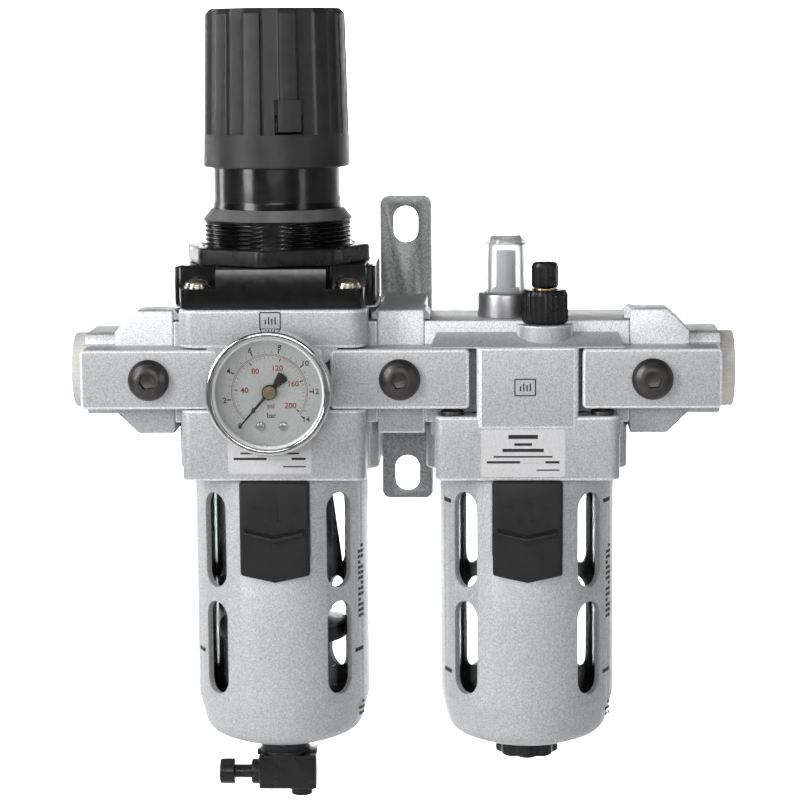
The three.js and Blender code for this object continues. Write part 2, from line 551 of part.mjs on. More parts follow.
function spacer() {
  const half = (UNIT_PITCH - UNIT_WIDTH) / 2 - JOINT_GAP;
  const block = box(-half, half, JOINT_FRONT_Y, -3.1, -BLOCK_HALF_HEIGHT, BLOCK_HALF_HEIGHT);
  const bracketHoles = [-12, 12].map((z) => toFront(rod(2.4, 0, 14, 0, 0, SMALL)).translate([0, 0, z]));
  return cut(join(block, hookTooth(-half - 1.9, half + 1.9)), port(-10, 10).translate([0, AXIS_Y, 0]),
    screwHoleAt(0), ...bracketHoles);
}

function bracket() {
  const [width, z0, z1, thickness] = [18.8, -54.3, 56.9, 3];
  const strip = plate(roundedOutline(width, z1 - z0, 2), -thickness, 0)
    .translate([0, 0, (z0 + z1) / 2]);
  const slots = [-44.8, 46.6].map((z) =>
    plate(roundedOutline(8.8, 13.2, 4.39), -4, 1).translate([0, 0, z]));
  const holes = [-12, 12].map((z) => toFront(turned([[0, -1], [5, -1], [5, 0.4], [2.6, 2.8],
    [2.6, 4], [0, 4]], 0, 0, SMALL)).translate([0, 0, z]));
  return cut(strip, ...slots, ...holes);
}

function countersunkScrew(z) {
  const body = turned([[0, 0.5], [4.6, 0.5], [2.1, 3], [2.1, 13], [0, 13]], 0, 0, SMALL);
  const socket = rod(1.7, 0, 1.8, 0, 0, 6);
  return toFront(body.subtract(socket)).translate([0, 0, z]);
}

function jointParts() {
  place('bracket', bracket(), STEEL);
  place('spacer', spacer(), SILVER);
  [-12, 12].forEach((z, i) => place(`bracket_screw_${i + 1}`, countersunkScrew(z), BLACK_OXIDE));
  const mirrored = (part) => part.mirror([1, 0, 0]);
  place('adapter_left', mirrored(adapter()), SILVER);
  place('adapter_right', adapter(), SILVER);
  place('port_cap_left', mirrored(portCap()), WHITE);
  place('port_cap_right', portCap(), WHITE);
  [['left', -CLAMP_X], ['middle', 0], ['right', CLAMP_X]].forEach(([side, x]) => {
    place(`clamp_plate_${side}`, clampPlate().translate([x, 0, 0]), SILVER);
    place(`clamp_screw_${side}`, buttonScrew().translate([x, 0, 0]), BLACK_OXIDE);
  });
  const seal = alongX(ringSeal(9.5, 2.2)).translate([0, AXIS_Y, 0]);
  const depth = UNIT_WIDTH / 2 - 1.3;
  [['reg_in', REG_X - depth], ['reg_out', REG_X + depth], ['lub_in', LUB_X - depth],
    ['lub_out', LUB_X + depth]].forEach(([side, x]) => {
    place(`joint_seal_${side}`, seal.translate([x, 0, 0]), RUBBER);
  });
}

regulatorParts();
filterParts();
bowlParts('reg', REG_X);
drainParts();
gaugeParts();
lubricatorParts();
bowlParts('lub', LUB_X);
jointParts();

export default group;
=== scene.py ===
import json
import math

import bmesh
import bpy
from mathutils import Matrix, Vector

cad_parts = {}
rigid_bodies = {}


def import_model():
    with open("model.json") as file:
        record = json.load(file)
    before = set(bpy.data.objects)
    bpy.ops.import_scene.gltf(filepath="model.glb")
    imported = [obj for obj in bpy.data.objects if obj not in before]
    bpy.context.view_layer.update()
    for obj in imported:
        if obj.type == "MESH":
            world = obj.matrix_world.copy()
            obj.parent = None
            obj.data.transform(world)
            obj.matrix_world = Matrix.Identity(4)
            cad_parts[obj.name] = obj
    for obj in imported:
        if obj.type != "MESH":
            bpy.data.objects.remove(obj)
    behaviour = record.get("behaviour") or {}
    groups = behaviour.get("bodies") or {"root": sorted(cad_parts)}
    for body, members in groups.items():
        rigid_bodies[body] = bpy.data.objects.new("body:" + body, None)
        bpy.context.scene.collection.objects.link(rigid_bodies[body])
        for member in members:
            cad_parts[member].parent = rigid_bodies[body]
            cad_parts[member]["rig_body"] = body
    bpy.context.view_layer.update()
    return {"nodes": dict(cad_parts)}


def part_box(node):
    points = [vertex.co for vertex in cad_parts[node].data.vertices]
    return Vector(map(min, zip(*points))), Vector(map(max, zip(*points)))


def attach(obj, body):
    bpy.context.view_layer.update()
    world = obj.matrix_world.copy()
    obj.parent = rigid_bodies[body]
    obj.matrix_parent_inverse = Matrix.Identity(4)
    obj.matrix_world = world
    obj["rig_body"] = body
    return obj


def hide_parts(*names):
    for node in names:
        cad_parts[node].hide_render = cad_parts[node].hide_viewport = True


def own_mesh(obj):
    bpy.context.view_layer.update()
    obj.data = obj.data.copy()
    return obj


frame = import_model()

MM = 0.001
TAU = 2 * math.pi


# ---- places read from the frame ----
def extent(node):
    """Lowest and highest corner of a CAD node in millimetres."""
    low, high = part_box(node)
    return Vector(low) / MM, Vector(high) / MM


def middle(node):
    low, high = extent(node)
    return (low + high) / 2


def half_width(node):
    low, high = extent(node)
    return (high.x - low.x) / 2


REG_X = middle("reg_guard").x
LUB_X = middle("lub_guard").x
AXIS_Y = middle("reg_bowl").y
FRONT_Y = extent("clamp_plate_middle")[0].y
UNIT_HALF = half_width("reg_body")
UNIT_PITCH_HALF = (LUB_X - REG_X) / 2
SKIRT_BOTTOM = extent("reg_body")[0].z
GUARD_BOTTOM = extent("reg_guard")[0].z
GUARD_TOP = SKIRT_BOTTOM - 0.5
GUARD_RADIUS = half_width("reg_guard")
BLOCK_HALF = extent("spacer")[1].z
CLAMP_Z = middle("clamp_plate_middle").z
CLAMP_X = middle("clamp_plate_right").x
JOINT_HALF = AXIS_Y - extent("spacer")[0].y  # half the depth of a joint flange
WALL_FOOT = 9.4  # above this height the joint flanges are set back; front walls above it carry a painted highlight
BEVEL_FACE = 0.62  # widest face of a rounded edge that carries the painted highlight
PORT_RADIUS = 7


# ---- mesh building ----
def make(name, points, faces):
    """A new object from points in millimetres, with its normals turned outwards."""
    mesh = bpy.data.meshes.new(name)
    mesh.from_pydata([Vector(p) * MM for p in points], [], faces)
    mesh.validate()
    bm = bmesh.new()
    bm.from_mesh(mesh)
    bmesh.ops.remove_doubles(bm, verts=bm.verts, dist=1e-7)
    bmesh.ops.recalc_face_normals(bm, faces=bm.faces)
    bm.to_mesh(mesh)
    bm.free()
    piece = bpy.data.objects.new(name, mesh)
    bpy.context.scene.collection.objects.link(piece)
    return piece


def revolve(name, profile, sides=96, shape=None):
    """A turned piece on the Z axis. The profile is (radius, height) from axis to axis, or a closed loop.
    shape(angle, radius, height) may change the radius round the piece."""
    closed = profile[0] == profile[-1]
    rows = profile[:-1] if closed else profile
    points = []
    rings = []
    for radius, height in rows:
        if radius < 1e-6:
            rings.append([len(points)] * sides)
            points.append((0, 0, height))
            continue
        rings.append(list(range(len(points), len(points) + sides)))
        for i in range(sides):
            angle = TAU * i / sides
            r = shape(angle, radius, height) if shape else radius
            points.append((r * math.cos(angle), r * math.sin(angle), height))
    faces = []
    for k in range(len(rings) if closed else len(rings) - 1):
        low, high = rings[k], rings[(k + 1) % len(rings)]
        for i in range(sides):
            j = (i + 1) % sides
            corners = list(dict.fromkeys([low[i], low[j], high[j], high[i]]))
            if len(corners) > 2:
                faces.append(corners)
    return make(name, points, faces)


def rounded(corners, radius, steps=4, closed=False):
    """A polyline with each inner corner turned into an arc. A corner may carry its own radius third."""
    count = len(corners)
    result = []
    for k, corner in enumerate(corners):
        here = Vector(corner[:2])
        reach = corner[2] if len(corner) > 2 else radius
        if (not closed and k in (0, count - 1)) or reach <= 0:
            result.append(tuple(here))
            continue
        before = Vector(corners[k - 1][:2]) - here
        after = Vector(corners[(k + 1) % count][:2]) - here
        half = before.angle(after) / 2
        if half > math.pi / 2 - 0.02:
            result.append(tuple(here))
            continue
        back = min(reach / math.tan(half), before.length * 0.49, after.length * 0.49)
        start, end = here + before.normalized() * back, here + after.normalized() * back
        for i in range(steps + 1):
            t = i / steps
            bend = (1 - t) ** 2 * start + 2 * t * (1 - t) * here + t ** 2 * end
            result.append(tuple(bend))
    return result


def loop(corners, radius, steps=4):
    """A closed profile with rounded corners, ready for revolve."""
    points = rounded(corners, radius, steps, closed=True)
    return points + [points[0]]


def round_rect(width, height, radius, steps=8):
    w, h = width / 2 - radius, height / 2 - radius
    points = []
    for x, y, start in ((w, -h, -90), (w, h, 0), (-w, h, 90), (-w, -h, 180)):
        for i in range(steps + 1):
            angle = math.radians(start + 90 * i / steps)
            points.append((x + radius * math.cos(angle), y + radius * math.sin(angle)))
    return points


def loft(name, rings):
    """A solid through rings that have the same number of points, with flat ends."""
    count = len(rings[0])
    last = count * (len(rings) - 1)
    faces = [tuple(range(count)), tuple(range(last, last + count))]
    for a in range(0, last, count):
        b = a + count
        for i in range(count):
            j = (i + 1) % count
            faces.append((a + i, a + j, b + j, b + i))
    return make(name, [point for ring in rings for point in ring], faces)


def extrude(name, outline, z0, z1):
    return loft(name, [[(x, y, z) for x, y in outline] for z in (z0, z1)])


def move(piece, x=0.0, y=0.0, z=0.0):
    """Shifts the mesh itself, so that every piece keeps its origin at the frame's."""
    piece.data.transform(Matrix.Translation(Vector((x, y, z)) * MM))
    return piece


def turn(piece, axis, degrees):
    piece.data.transform(Matrix.Rotation(math.radians(degrees), 4, axis))
    return piece


def to_front(piece):
    """Turns a piece made on the Z axis to face the front."""
    return turn(piece, "X", 90)


def along_x(piece):
    return turn(piece, "Y", 90)


def split_at(piece, height):
    """Adds an edge round the piece at a height, so that faces above it can be another colour, the painted
    highlight.
    """
    bm = bmesh.new()
    bm.from_mesh(piece.data)
    everything = [*bm.verts, *bm.edges, *bm.faces]
    bmesh.ops.bisect_plane(bm, geom=everything, plane_co=(0, 0, height * MM), plane_no=(0, 0, 1))
    bm.to_mesh(piece.data)
    bm.free()
    return piece


def across(name, outline, x0, x1):
    """Extrudes an outline given in (Y, Z) along X."""
    return turn(to_front(extrude(name, outline, x0, x1)), "Z", 90)


def facing(name, outline, back, front):
    """Extrudes an outline given in (X, Z) from one distance in front of the origin to another."""
    return to_front(extrude(name, outline, back, front))


def mirrored(piece):
    piece.data.transform(Matrix.Scale(-1, 4, (1, 0, 0)))
    piece.data.flip_normals()
    return piece


def rear_slope(y, z, drop):
    """What is cut away to slope a top face down towards the wall."""
    return across("slope", [(y, z), (40, z + 5), (40, z - drop)], -200, 200)


def apply_modifiers(piece):
    graph = bpy.context.evaluated_depsgraph_get()
    finished = bpy.data.meshes.new_from_object(piece.evaluated_get(graph))
    piece.modifiers.clear()
    piece.data = finished
    return piece


def bevel(piece, width, segments=3, angle=35):
    rounding = piece.modifiers.new("rounding", "BEVEL")
    rounding.width = width * MM
    rounding.segments = segments
    rounding.limit_method = "ANGLE"
    rounding.angle_limit = math.radians(angle)
    rounding.use_clamp_overlap = True
    return apply_modifiers(piece)


def combine(piece, others, operation):
    """Joins the other pieces to this one, cuts them from it, or keeps what they share."""
    for other in others:
        step = piece.modifiers.new("combine", "BOOLEAN")
        step.operation = operation
        step.solver = "MANIFOLD"
        step.object = other
    apply_modifiers(piece)
    for other in others:
        bpy.data.objects.remove(other)
    return piece


def join(piece, *others):
    return combine(piece, others, "UNION")


def cut(piece, *others):
    return combine(piece, others, "DIFFERENCE")


def smooth(piece, angle=32):
    mesh = piece.data
    mesh.polygons.foreach_set("use_smooth", [True] * len(mesh.polygons))
    mesh.set_sharp_from_angle(angle=math.radians(angle))
    return piece


def block(name, x0, x1, y0, y1, z0, z1, edge=0.0):
    outline = [(x0, y0), (x1, y0), (x1, y1), (x0, y1)]
    piece = extrude(name, outline, z0, z1)
    return bevel(piece, edge) if edge else piece


def slab(name, width, depth, corner, z0, z1, edge=0.0, steps=8):
    piece = extrude(name, round_rect(width, depth, corner, steps), z0, z1)
    return bevel(piece, edge, angle=50) if edge else piece


def rod(name, radius, z0, z1, edge=0.0, sides=64):
    profile = rounded([(0, z0), (radius, z0), (radius, z1), (0, z1)], edge)
    return revolve(name, profile, sides)


def around(count, make_piece):
    return [turn(make_piece(), "Z", 360 * i / count) for i in range(count)]


def show(piece, material, *nodes, body=None, angle=32):
    """Finishes a piece: smooth shading, material, the CAD nodes it stands for and the body it rides."""
    smooth(piece, angle)
    piece.data.materials.clear()
    piece.data.materials.append(material)
    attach(piece, body or frame["nodes"][nodes[0]]["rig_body"])
    if nodes:
        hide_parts(*nodes)
    return piece


def light_up(piece, material, chosen):
    """Gives a second material to the faces that chosen(centre, normal, width) picks, in millimetres; here
    that material is a painted highlight or a painted shade.
    """
    piece.data.materials.append(material)
    corners = piece.data.vertices
    for face in piece.data.polygons:
        longest = max((corners[a].co - corners[b].co).length for a, b in face.edge_keys)
        width = face.area / longest / MM if longest else 0
        face.material_index = int(bool(chosen(face.center / MM, face.normal, width)))


def on_bevel(spot, normal, width):
    """Picks the narrow faces of rounded edges, unless they look to the wall, to carry a painted highlight.
    """
    return width < BEVEL_FACE and normal.y < 0.2 and max(abs(part) for part in normal) < 0.985


def on_wall(spot, normal, width):
    """Picks the front walls above the clamp plates, to carry a painted highlight."""
    return spot.z > WALL_FOOT and normal.y < -0.5


def on_bevel_or_wall(spot, normal, width):
    """Picks rounded edges, and the set-back front walls of the joint flanges, to carry a painted highlight.
    """
    set_back = abs(spot.y - (AXIS_Y - JOINT_HALF)) < 1.5
    return on_bevel(spot, normal, width) or (set_back and on_wall(spot, normal, width))


def on_unit(piece, x):
    """Moves a piece made on the origin to a bowl axis."""
    return move(piece, x, AXIS_Y)


# ---- materials ----
class Shader:
    """A principled material in object space, with short names for the nodes it is made of."""

    def __init__(self, name, slot, color, roughness, metallic=0.0, **sockets):
        self.material = bpy.data.materials.new(name)
        self.material["slot"] = slot
        self.material.use_nodes = True
        self.tree = self.material.node_tree
        self.base = self.tree.nodes["Principled BSDF"]
        self.set("Base Color", (*color, 1.0))
        self.set("Roughness", roughness)
        self.set("Metallic", metallic)
        for socket, value in sockets.items():
            self.set(socket.replace("_", " "), value)
        self.place = self.node("ShaderNodeTexCoord").outputs["Object"]

    def set(self, socket, value):
        self.base.inputs[socket].default_value = value

    def node(self, kind, **settings):
        made = self.tree.nodes.new(kind)
        for key, value in settings.items():
            setattr(made, key, value)
        return made

    def link(self, source, target):
        self.tree.links.new(source, target)

    def noise(self, size_mm, detail=3.0, stretch=(1, 1, 1)):
        """Noise whose features are about size_mm across."""
        mapping = self.node("ShaderNodeMapping")
        mapping.inputs["Scale"].default_value = stretch
        self.link(self.place, mapping.inputs["Vector"])
        texture = self.node("ShaderNodeTexNoise")
        texture.inputs["Scale"].default_value = 1 / (size_mm * MM)
        texture.inputs["Detail"].default_value = detail
        self.link(mapping.outputs["Vector"], texture.inputs["Vector"])
        return texture.outputs["Fac"]

    def cells(self, size_mm):
        texture = self.node("ShaderNodeTexVoronoi")
        texture.inputs["Scale"].default_value = 1 / (size_mm * MM)
        self.link(self.place, texture.inputs["Vector"])
        return texture.outputs["Color"]

    def spread(self, value, low, high):
        """Maps a 0 to 1 value onto low to high."""
        ranged = self.node("ShaderNodeMapRange")
        ranged.inputs["From Min"].default_value = 0.3
        ranged.inputs["From Max"].default_value = 0.7
        ranged.inputs["To Min"].default_value = low
        ranged.inputs["To Max"].default_value = high
        self.link(value, ranged.inputs["Value"])
        return ranged.outputs["Result"]

    def vary_color(self, value, dark, light):
        ramp = self.node("ShaderNodeValToRGB")
        ramp.color_ramp.elements[0].position = 0.3
        ramp.color_ramp.elements[0].color = (*dark, 1)
        ramp.color_ramp.elements[1].position = 0.7
        ramp.color_ramp.elements[1].color = (*light, 1)
        self.link(value, ramp.inputs["Fac"])
        self.link(ramp.outputs["Color"], self.base.inputs["Base Color"])

    def vary_roughness(self, value, low, high):
        self.link(self.spread(value, low, high), self.base.inputs["Roughness"])

    def bump(self, *layers):
        """Layers of (value, height in millimetres), from the largest to the finest."""
        normal = None
        for value, height in layers:
            relief = self.node("ShaderNodeBump")
            relief.inputs["Distance"].default_value = height * MM
            self.link(value, relief.inputs["Height"])
            if normal:
                self.link(normal, relief.inputs["Normal"])
            normal = relief.outputs["Normal"]
        self.link(normal, self.base.inputs["Normal"])


def grey(level, warmth=0.0):
    return (level * (1 + warmth), level, level * (1 - warmth))


def silver_paint(name="silver_paint", level=0.5):
    shader = Shader(name, "silver_paint", grey(level), 0.45, 0.28, Specular_IOR_Level=0.3)
    flakes = shader.cells(0.28)
    shader.vary_color(flakes, grey(level * 0.8, -0.015), grey(level * 1.16, -0.015))
    shader.vary_roughness(shader.noise(0.5), 0.38, 0.54)
    shader.bump((shader.noise(2.2, 1.0), 0.012), (flakes, 0.012))
    return shader.material


def bracket_steel():
    shader = Shader("bracket_steel", "steel", grey(0.33), 0.45, 0.6)
    shader.vary_color(shader.cells(0.35), grey(0.24, -0.01), grey(0.42, -0.01))
    shader.vary_roughness(shader.noise(0.6), 0.36, 0.55)
    shader.bump((shader.noise(1.6, 2.0), 0.02), (shader.cells(0.4), 0.01))
    return shader.material


def moulded_black(name, slot, level, low, high, grain_mm, relief_mm, coat=0.0):
    shader = Shader(name, slot, grey(level), (low + high) / 2, Specular_IOR_Level=0.4, Coat_Weight=coat,
                    Coat_Roughness=0.08)
    shader.vary_color(shader.noise(6.0, 4.0), grey(level * 0.8), grey(level * 1.25))
    shader.vary_roughness(shader.noise(3.0, 4.0), low, high)
    shader.bump((shader.noise(grain_mm, 2.0), relief_mm))
    return shader.material


def metal(name, slot, color, low, high, grain_mm=0.3, relief_mm=0.004, stretch=(1, 1, 1)):
    shader = Shader(name, slot, color, (low + high) / 2, 1.0)
    wear = shader.noise(2.5, 5.0)
    shader.vary_color(wear, tuple(c * 0.85 for c in color), tuple(min(1, c * 1.08) for c in color))
    shader.vary_roughness(shader.noise(1.2, 4.0), low, high)
    shader.bump((shader.noise(grain_mm, 2.0, stretch), relief_mm))
    return shader.material


def clear(name, slot, ior, tint=(0.97, 0.985, 0.985), transmission=1.0, haze=0.0):
    shader = Shader(name, slot, tint, 0.02, Transmission_Weight=transmission, IOR=ior)
    shader.vary_roughness(shader.noise(8.0, 3.0), haze + 0.01, haze + 0.05)
    shader.bump((shader.noise(14.0, 1.0), 0.02))
    return shader.material


def soft_white(name, color, grain_mm=0.4, relief_mm=0.02, subsurface=0.1):
    shader = Shader(name, "white_plastic", color, 0.55,
                    Subsurface_Weight=subsurface, Subsurface_Scale=0.002)
    shader.vary_color(shader.noise(5.0, 4.0), tuple(c * 0.94 for c in color), color)
    shader.vary_roughness(shader.noise(1.5), 0.45, 0.65)
    shader.bump((shader.noise(grain_mm, 2.0), relief_mm))
    return shader.material


def printed(name, color, roughness=0.5):
    shader = Shader(name, "dial", color, roughness)
    shader.vary_color(shader.noise(0.6, 3.0), tuple(c * 0.85 for c in color), color)
    shader.vary_roughness(shader.noise(0.4), roughness * 0.9, roughness * 1.1)
    return shader.material


SILVER = silver_paint()
GUARD_SILVER = silver_paint("guard_silver", 0.56)
# painted highlight: a lighter copy of the silver paint for lit edges and lit front walls, not a finish of
# its own
PAINTED_HIGHLIGHT_SILVER = silver_paint("painted_highlight_silver", 0.85)
BRACKET = bracket_steel()
KNOB_BLACK = moulded_black("knob_black", "black_plastic", 0.022, 0.38, 0.52, 0.5, 0.02)
GLOSS_BLACK = moulded_black("gloss_black", "gloss_black", 0.004, 0.14, 0.26, 5.0, 0.02, coat=0.12)
SATIN_BLACK = moulded_black("satin_black", "black_plastic", 0.008, 0.24, 0.38, 1.5, 0.012)
TEXTURED_BLACK = moulded_black("textured_black", "black_plastic", 0.009, 0.4, 0.55, 0.45, 0.035)
# painted shade: near-black for the inside of the silver-painted guards, where the shade falls
GUARD_INSIDE_SHADE = moulded_black("guard_inside_painted_shade", "silver_paint", 0.02, 0.5, 0.65, 0.6, 0.01)
RUBBER = moulded_black("rubber", "rubber", 0.012, 0.6, 0.8, 0.8, 0.02)
BLACK_OXIDE = metal("black_oxide", "black_oxide", (0.09, 0.086, 0.084), 0.34, 0.48)
ZINC = metal("zinc", "bright_steel", (0.62, 0.58, 0.5), 0.18, 0.34)
# painted highlight: lighter grey on the top-lit slope of the gloss black collar
COLLAR_HIGHLIGHT = moulded_black("collar_painted_highlight", "gloss_black", 0.12, 0.4, 0.5, 0.8, 0.01)
CHROME = metal("chrome", "bright_steel", (0.72, 0.72, 0.73), 0.05, 0.12, 6.0, 0.01)
NICKEL = metal("nickel", "bright_steel", (0.66, 0.66, 0.66), 0.16, 0.3)
SPRING_STEEL = metal("spring_steel", "steel", (0.3, 0.3, 0.31), 0.25, 0.4)
BRASS = metal("brass", "brass", (0.62, 0.45, 0.19), 0.18, 0.32)
ALUMINIUM = metal("aluminium", "bright_steel", (0.5, 0.5, 0.51), 0.3, 0.42, 0.2, 0.006, (1, 1, 12))
HUB_OLIVE = metal("hub_olive", "brass", (0.35, 0.3, 0.17), 0.3, 0.45)
POLYCARBONATE = clear("polycarbonate", "clear_plastic", 1.58)
SIGHT_CLEAR = clear("sight_clear", "clear_plastic", 1.45, (0.84, 0.85, 0.86), 0.74, 0.06)
GLASS = clear("glass", "glass", 1.5)
CAP_WHITE = soft_white("cap_white", (0.74, 0.73, 0.69))
SIGHT_WHITE = soft_white("sight_white", (0.86, 0.86, 0.88), 0.8, 0.01, 0.3)
FILTER_WHITE = soft_white("filter_white", (0.6, 0.59, 0.55), 0.9, 0.12, 0.0)
LABEL = printed("label", (0.68, 0.68, 0.69), 0.4)
INK = printed("ink", (0.012, 0.012, 0.012), 0.6)
RED_INK = printed("red_ink", (0.42, 0.03, 0.02), 0.6)
DIAL = printed("dial", (0.78, 0.78, 0.77), 0.42)
LIP_WHITE = printed("lip_white", (0.93, 0.93, 0.92), 0.3)


# ---- castings ----
HEAD_TOP = extent("reg_body")[1].z
LUB_TOP = extent("lub_body")[1].z
BOSS_HALF = 17.2  # front boss between two clamp plates
BORE_RADIUS = 28.0


def bowl_bore():
    low, step, seat = SKIRT_BOTTOM - 1, SKIRT_BOTTOM + 6, SKIRT_BOTTOM + 22
    mouth = BORE_RADIUS + 1.6
    profile = [(0, low), (mouth, low), (mouth, step), (BORE_RADIUS, step), (BORE_RADIUS, seat), (0, seat)]
    return revolve("bore", profile)


def unit_casting(name, skirt_top):
    """What both castings share: joint flange, waist, front boss, bowl skirt and side wings."""
    flange = block(name, -UNIT_HALF, UNIT_HALF, -JOINT_HALF, JOINT_HALF, -LUB_TOP, LUB_TOP, 0.5)
    waist = block("waist", 2 - UNIT_HALF, UNIT_HALF - 2, 0.6 - JOINT_HALF, 28, -22, 12)
    boss = slab("boss", 2 * BOSS_HALF, 64, 2.2, skirt_top - 4, 9.9, 0.9)
    rear = block("rear", -20, 20, 0.5, 40, skirt_top - 5, 11)
    skirt = slab("skirt", 62.8, 62.4, 3.6, SKIRT_BOTTOM, skirt_top, 0.9)
    wings = slab("wings", 2 * UNIT_HALF - 0.1, 38, 5, SKIRT_BOTTOM + 0.6, -15, 0.8)
    return join(flange, waist, cut(boss, rear), skirt, move(wings, y=9))


def port_along(x0, x1, radius=PORT_RADIUS, z=0.0):
    return move(along_x(rod("port", radius, x0, x1)), z=z)


def hook_notch(side):
    """Room in the top of a joint face for the hook of the next block."""
    outline = [(30.6, 19.6), (32.4, 17.2), (40, 17.2), (40, 22.4), (32.4, 22.4)]
    return facing("notch", [(side * x, z) for x, z in outline], -0.4, 20)


def web(side):
    """A small web that ties the head to the boss beside the gauge."""
    inner, outer = side * (BOSS_HALF - 1), side * (BOSS_HALF + 6)
    return facing("web", [(inner, 2), (inner, 11), (outer, 11)], 14, 31)


def core():
    """What fills the casting above the bowl."""
    return rod("core", 24, SKIRT_BOTTOM + 21, 10)


def regulator_casting():
    head = slab("head", 64, 64, 6, 9.9, HEAD_TOP, 1.1)
    cheeks = slab("cheeks", 2 * UNIT_HALF - 0.2, 2 * JOINT_HALF - 0.2, 1.5, 9, HEAD_TOP - 0.1, 0.5)
    cheeks = cut(cheeks, hook_notch(-1), hook_notch(1))
    casting = join(unit_casting("reg_casting", -11.3), head, cheeks, core())
    casting = join(casting, web(-1), web(1))
    gauge_hole = move(to_front(rod("gauge_hole", 5.2, 16, 60)), z=middle("gauge_dial").z)
    valve_room = [rod("valve_room", 9, -15, 0), rod("valve_seat", 5.6, -1, 30), rod("outlet", 12, 4, 11)]
    well = rod("well", 22, 20, 30)
    return cut(casting, bowl_bore(), port_along(-40, 40), gauge_hole, *valve_room, well)


def lubricator_casting():
    crown = move(slab("crown", 2 * UNIT_HALF - 0.6, 46, 4, 2, LUB_TOP, 0.5), y=6)
    crown = cut(crown, rear_slope(10, LUB_TOP, 10))
    fill, dome = (middle(node) - Vector((LUB_X, AXIS_Y, 0)) for node in ("fill_plug", "sight_dome"))
    fill_boss = move(rod("fill_boss", 9.7, 2, 16.5, 0.5, 96), fill.x, fill.y)
    casting = join(unit_casting("lub_casting", -13.8), crown, shoulder(), fill_boss, core())
    clamp_rooms = [block("clamp_room", x - 9, x + 9, -41, 0.6 - JOINT_HALF, -10.6, 9.5)
                   for x in (-26.5, 26.5)]
    fill_hole = move(rod("fill_hole", 4.6, 5, 30), fill.x, fill.y)
    dome_hole = move(rod("dome_hole", 3, 5, 30), dome.x, dome.y)
    return cut(casting, *clamp_rooms, bowl_bore(), port_along(-40, 40), fill_hole, dome_hole)


def shoulder():
    """The sloping step in front of the top face, narrower at the top."""
    back = -8
    rows = ((32.6, -30.4, 9.2), (32.6, -30.4, 10), (30.6, -16.6, 14.1))
    return loft("shoulder", [[(-half, front, z), (half, front, z), (half, back, z), (-half, back, z)]
                             for half, front, z in rows])


# painted highlight on the rounded edges of both castings and on the lubricator's set-back front walls
light_up(show(on_unit(regulator_casting(), REG_X), SILVER, "reg_body"), PAINTED_HIGHLIGHT_SILVER, on_bevel)
lubricator = split_at(on_unit(lubricator_casting(), LUB_X), WALL_FOOT)
light_up(show(lubricator, SILVER, "lub_body"), PAINTED_HIGHLIGHT_SILVER, on_bevel_or_wall)


# ---- bonnet, nut and knob ----
BONNET_BASE, NECK_TOP = extent("bonnet")[0].z, extent("bonnet")[1].z
BONNET_TOP = extent("panel_nut")[0].z - 0.1
SCREW_SEAT = BONNET_BASE + 7
NECK_RADIUS = 22.2
THREAD_RADIUS = 26.0
THREAD_PITCH = 1.5
THREAD_DEPTH = 0.85
COLLAR_TOP = 51.9
KNOB_BOTTOM, KNOB_TOP = extent("knob")[0].z, extent("knob")[1].z
FRONT = -math.pi / 2  # direction of the front, seen from above


def from_front(angle):
    """Signed difference between a direction and the front, in radians."""
    return (angle - FRONT + math.pi) % TAU - math.pi


def threaded(angle, radius, height):
    """Cuts a thread and a flat at the front into the collar."""
    if radius < NECK_RADIUS - 1:
        return radius
    phase = (height / THREAD_PITCH - angle / TAU) % 1
    tooth = min(1.0, 2.4 * abs(phase - 0.5))
    run_out = max(0.0, min(1.0, (COLLAR_TOP - 0.4 - height) / 0.6))
    turned = radius - THREAD_DEPTH * tooth * run_out if radius > THREAD_RADIUS - 0.1 else radius
    away = abs(from_front(angle))
    flat = (THREAD_RADIUS - 1.1) / math.cos(away) if away < 0.4 and height > BONNET_TOP + 5 else radius
    return min(turned, flat)


def bonnet():
    front = slab("bonnet_moulding", 62.6, 64, 4.5, BONNET_BASE, BONNET_TOP, 0.6)
    cheeks = slab("cheeks", 69.4, 36, 3.5, BONNET_BASE, BONNET_TOP - 0.6, 0.6)
    corner, width = 26.3, 15.4
    pockets = around(4, lambda: move(slab("pocket", width, width, 1.6, SCREW_SEAT, 40, steps=4),
                                     corner, corner))
    base = cut(join(front, cheeks), *pockets)
    rows = 96
    step = (COLLAR_TOP - BONNET_TOP + 1) / rows
    thread = [(THREAD_RADIUS, BONNET_TOP - 1 + k * step) for k in range(rows)]
    neck = rounded([(THREAD_RADIUS, COLLAR_TOP), (NECK_RADIUS + 0.6, 55.7, 0.8), (NECK_RADIUS, 58, 2),
                    (NECK_RADIUS, NECK_TOP, 1.0), (18, NECK_TOP)], 0.6)
    collar = revolve("collar", [(0, BONNET_TOP - 1), *thread, *neck, (18, 66), (0, 66)], 144, threaded)
    inside = join(rod("hollow", 19, 20, 60), rod("screw_hole", 4.6, 59, 67))
    return cut(join(base, collar), inside)


def pan_screw():
    """Pan head screw with a cross recess, its seat at height zero."""
    profile = [(0, -14), (2, -14), (2, 0), (3.95, 0, 0.3), (3.95, 1.5, 1.1), (2.4, 2.6, 1.2), (0, 2.95)]
    head = revolve("pan_screw", rounded(profile, 0.2), 48)
    cross = [turn(block("cross", -2.3, 2.3, -0.45, 0.45, 1.3, 4), "Z", degrees) for degrees in (20, 110)]
    washer = revolve("washer", loop([(2.1, -0.1), (4.4, -0.1), (4.4, 0.5), (2.1, 0.5)], 0.15), 48)
    return join(cut(head, *cross), washer)


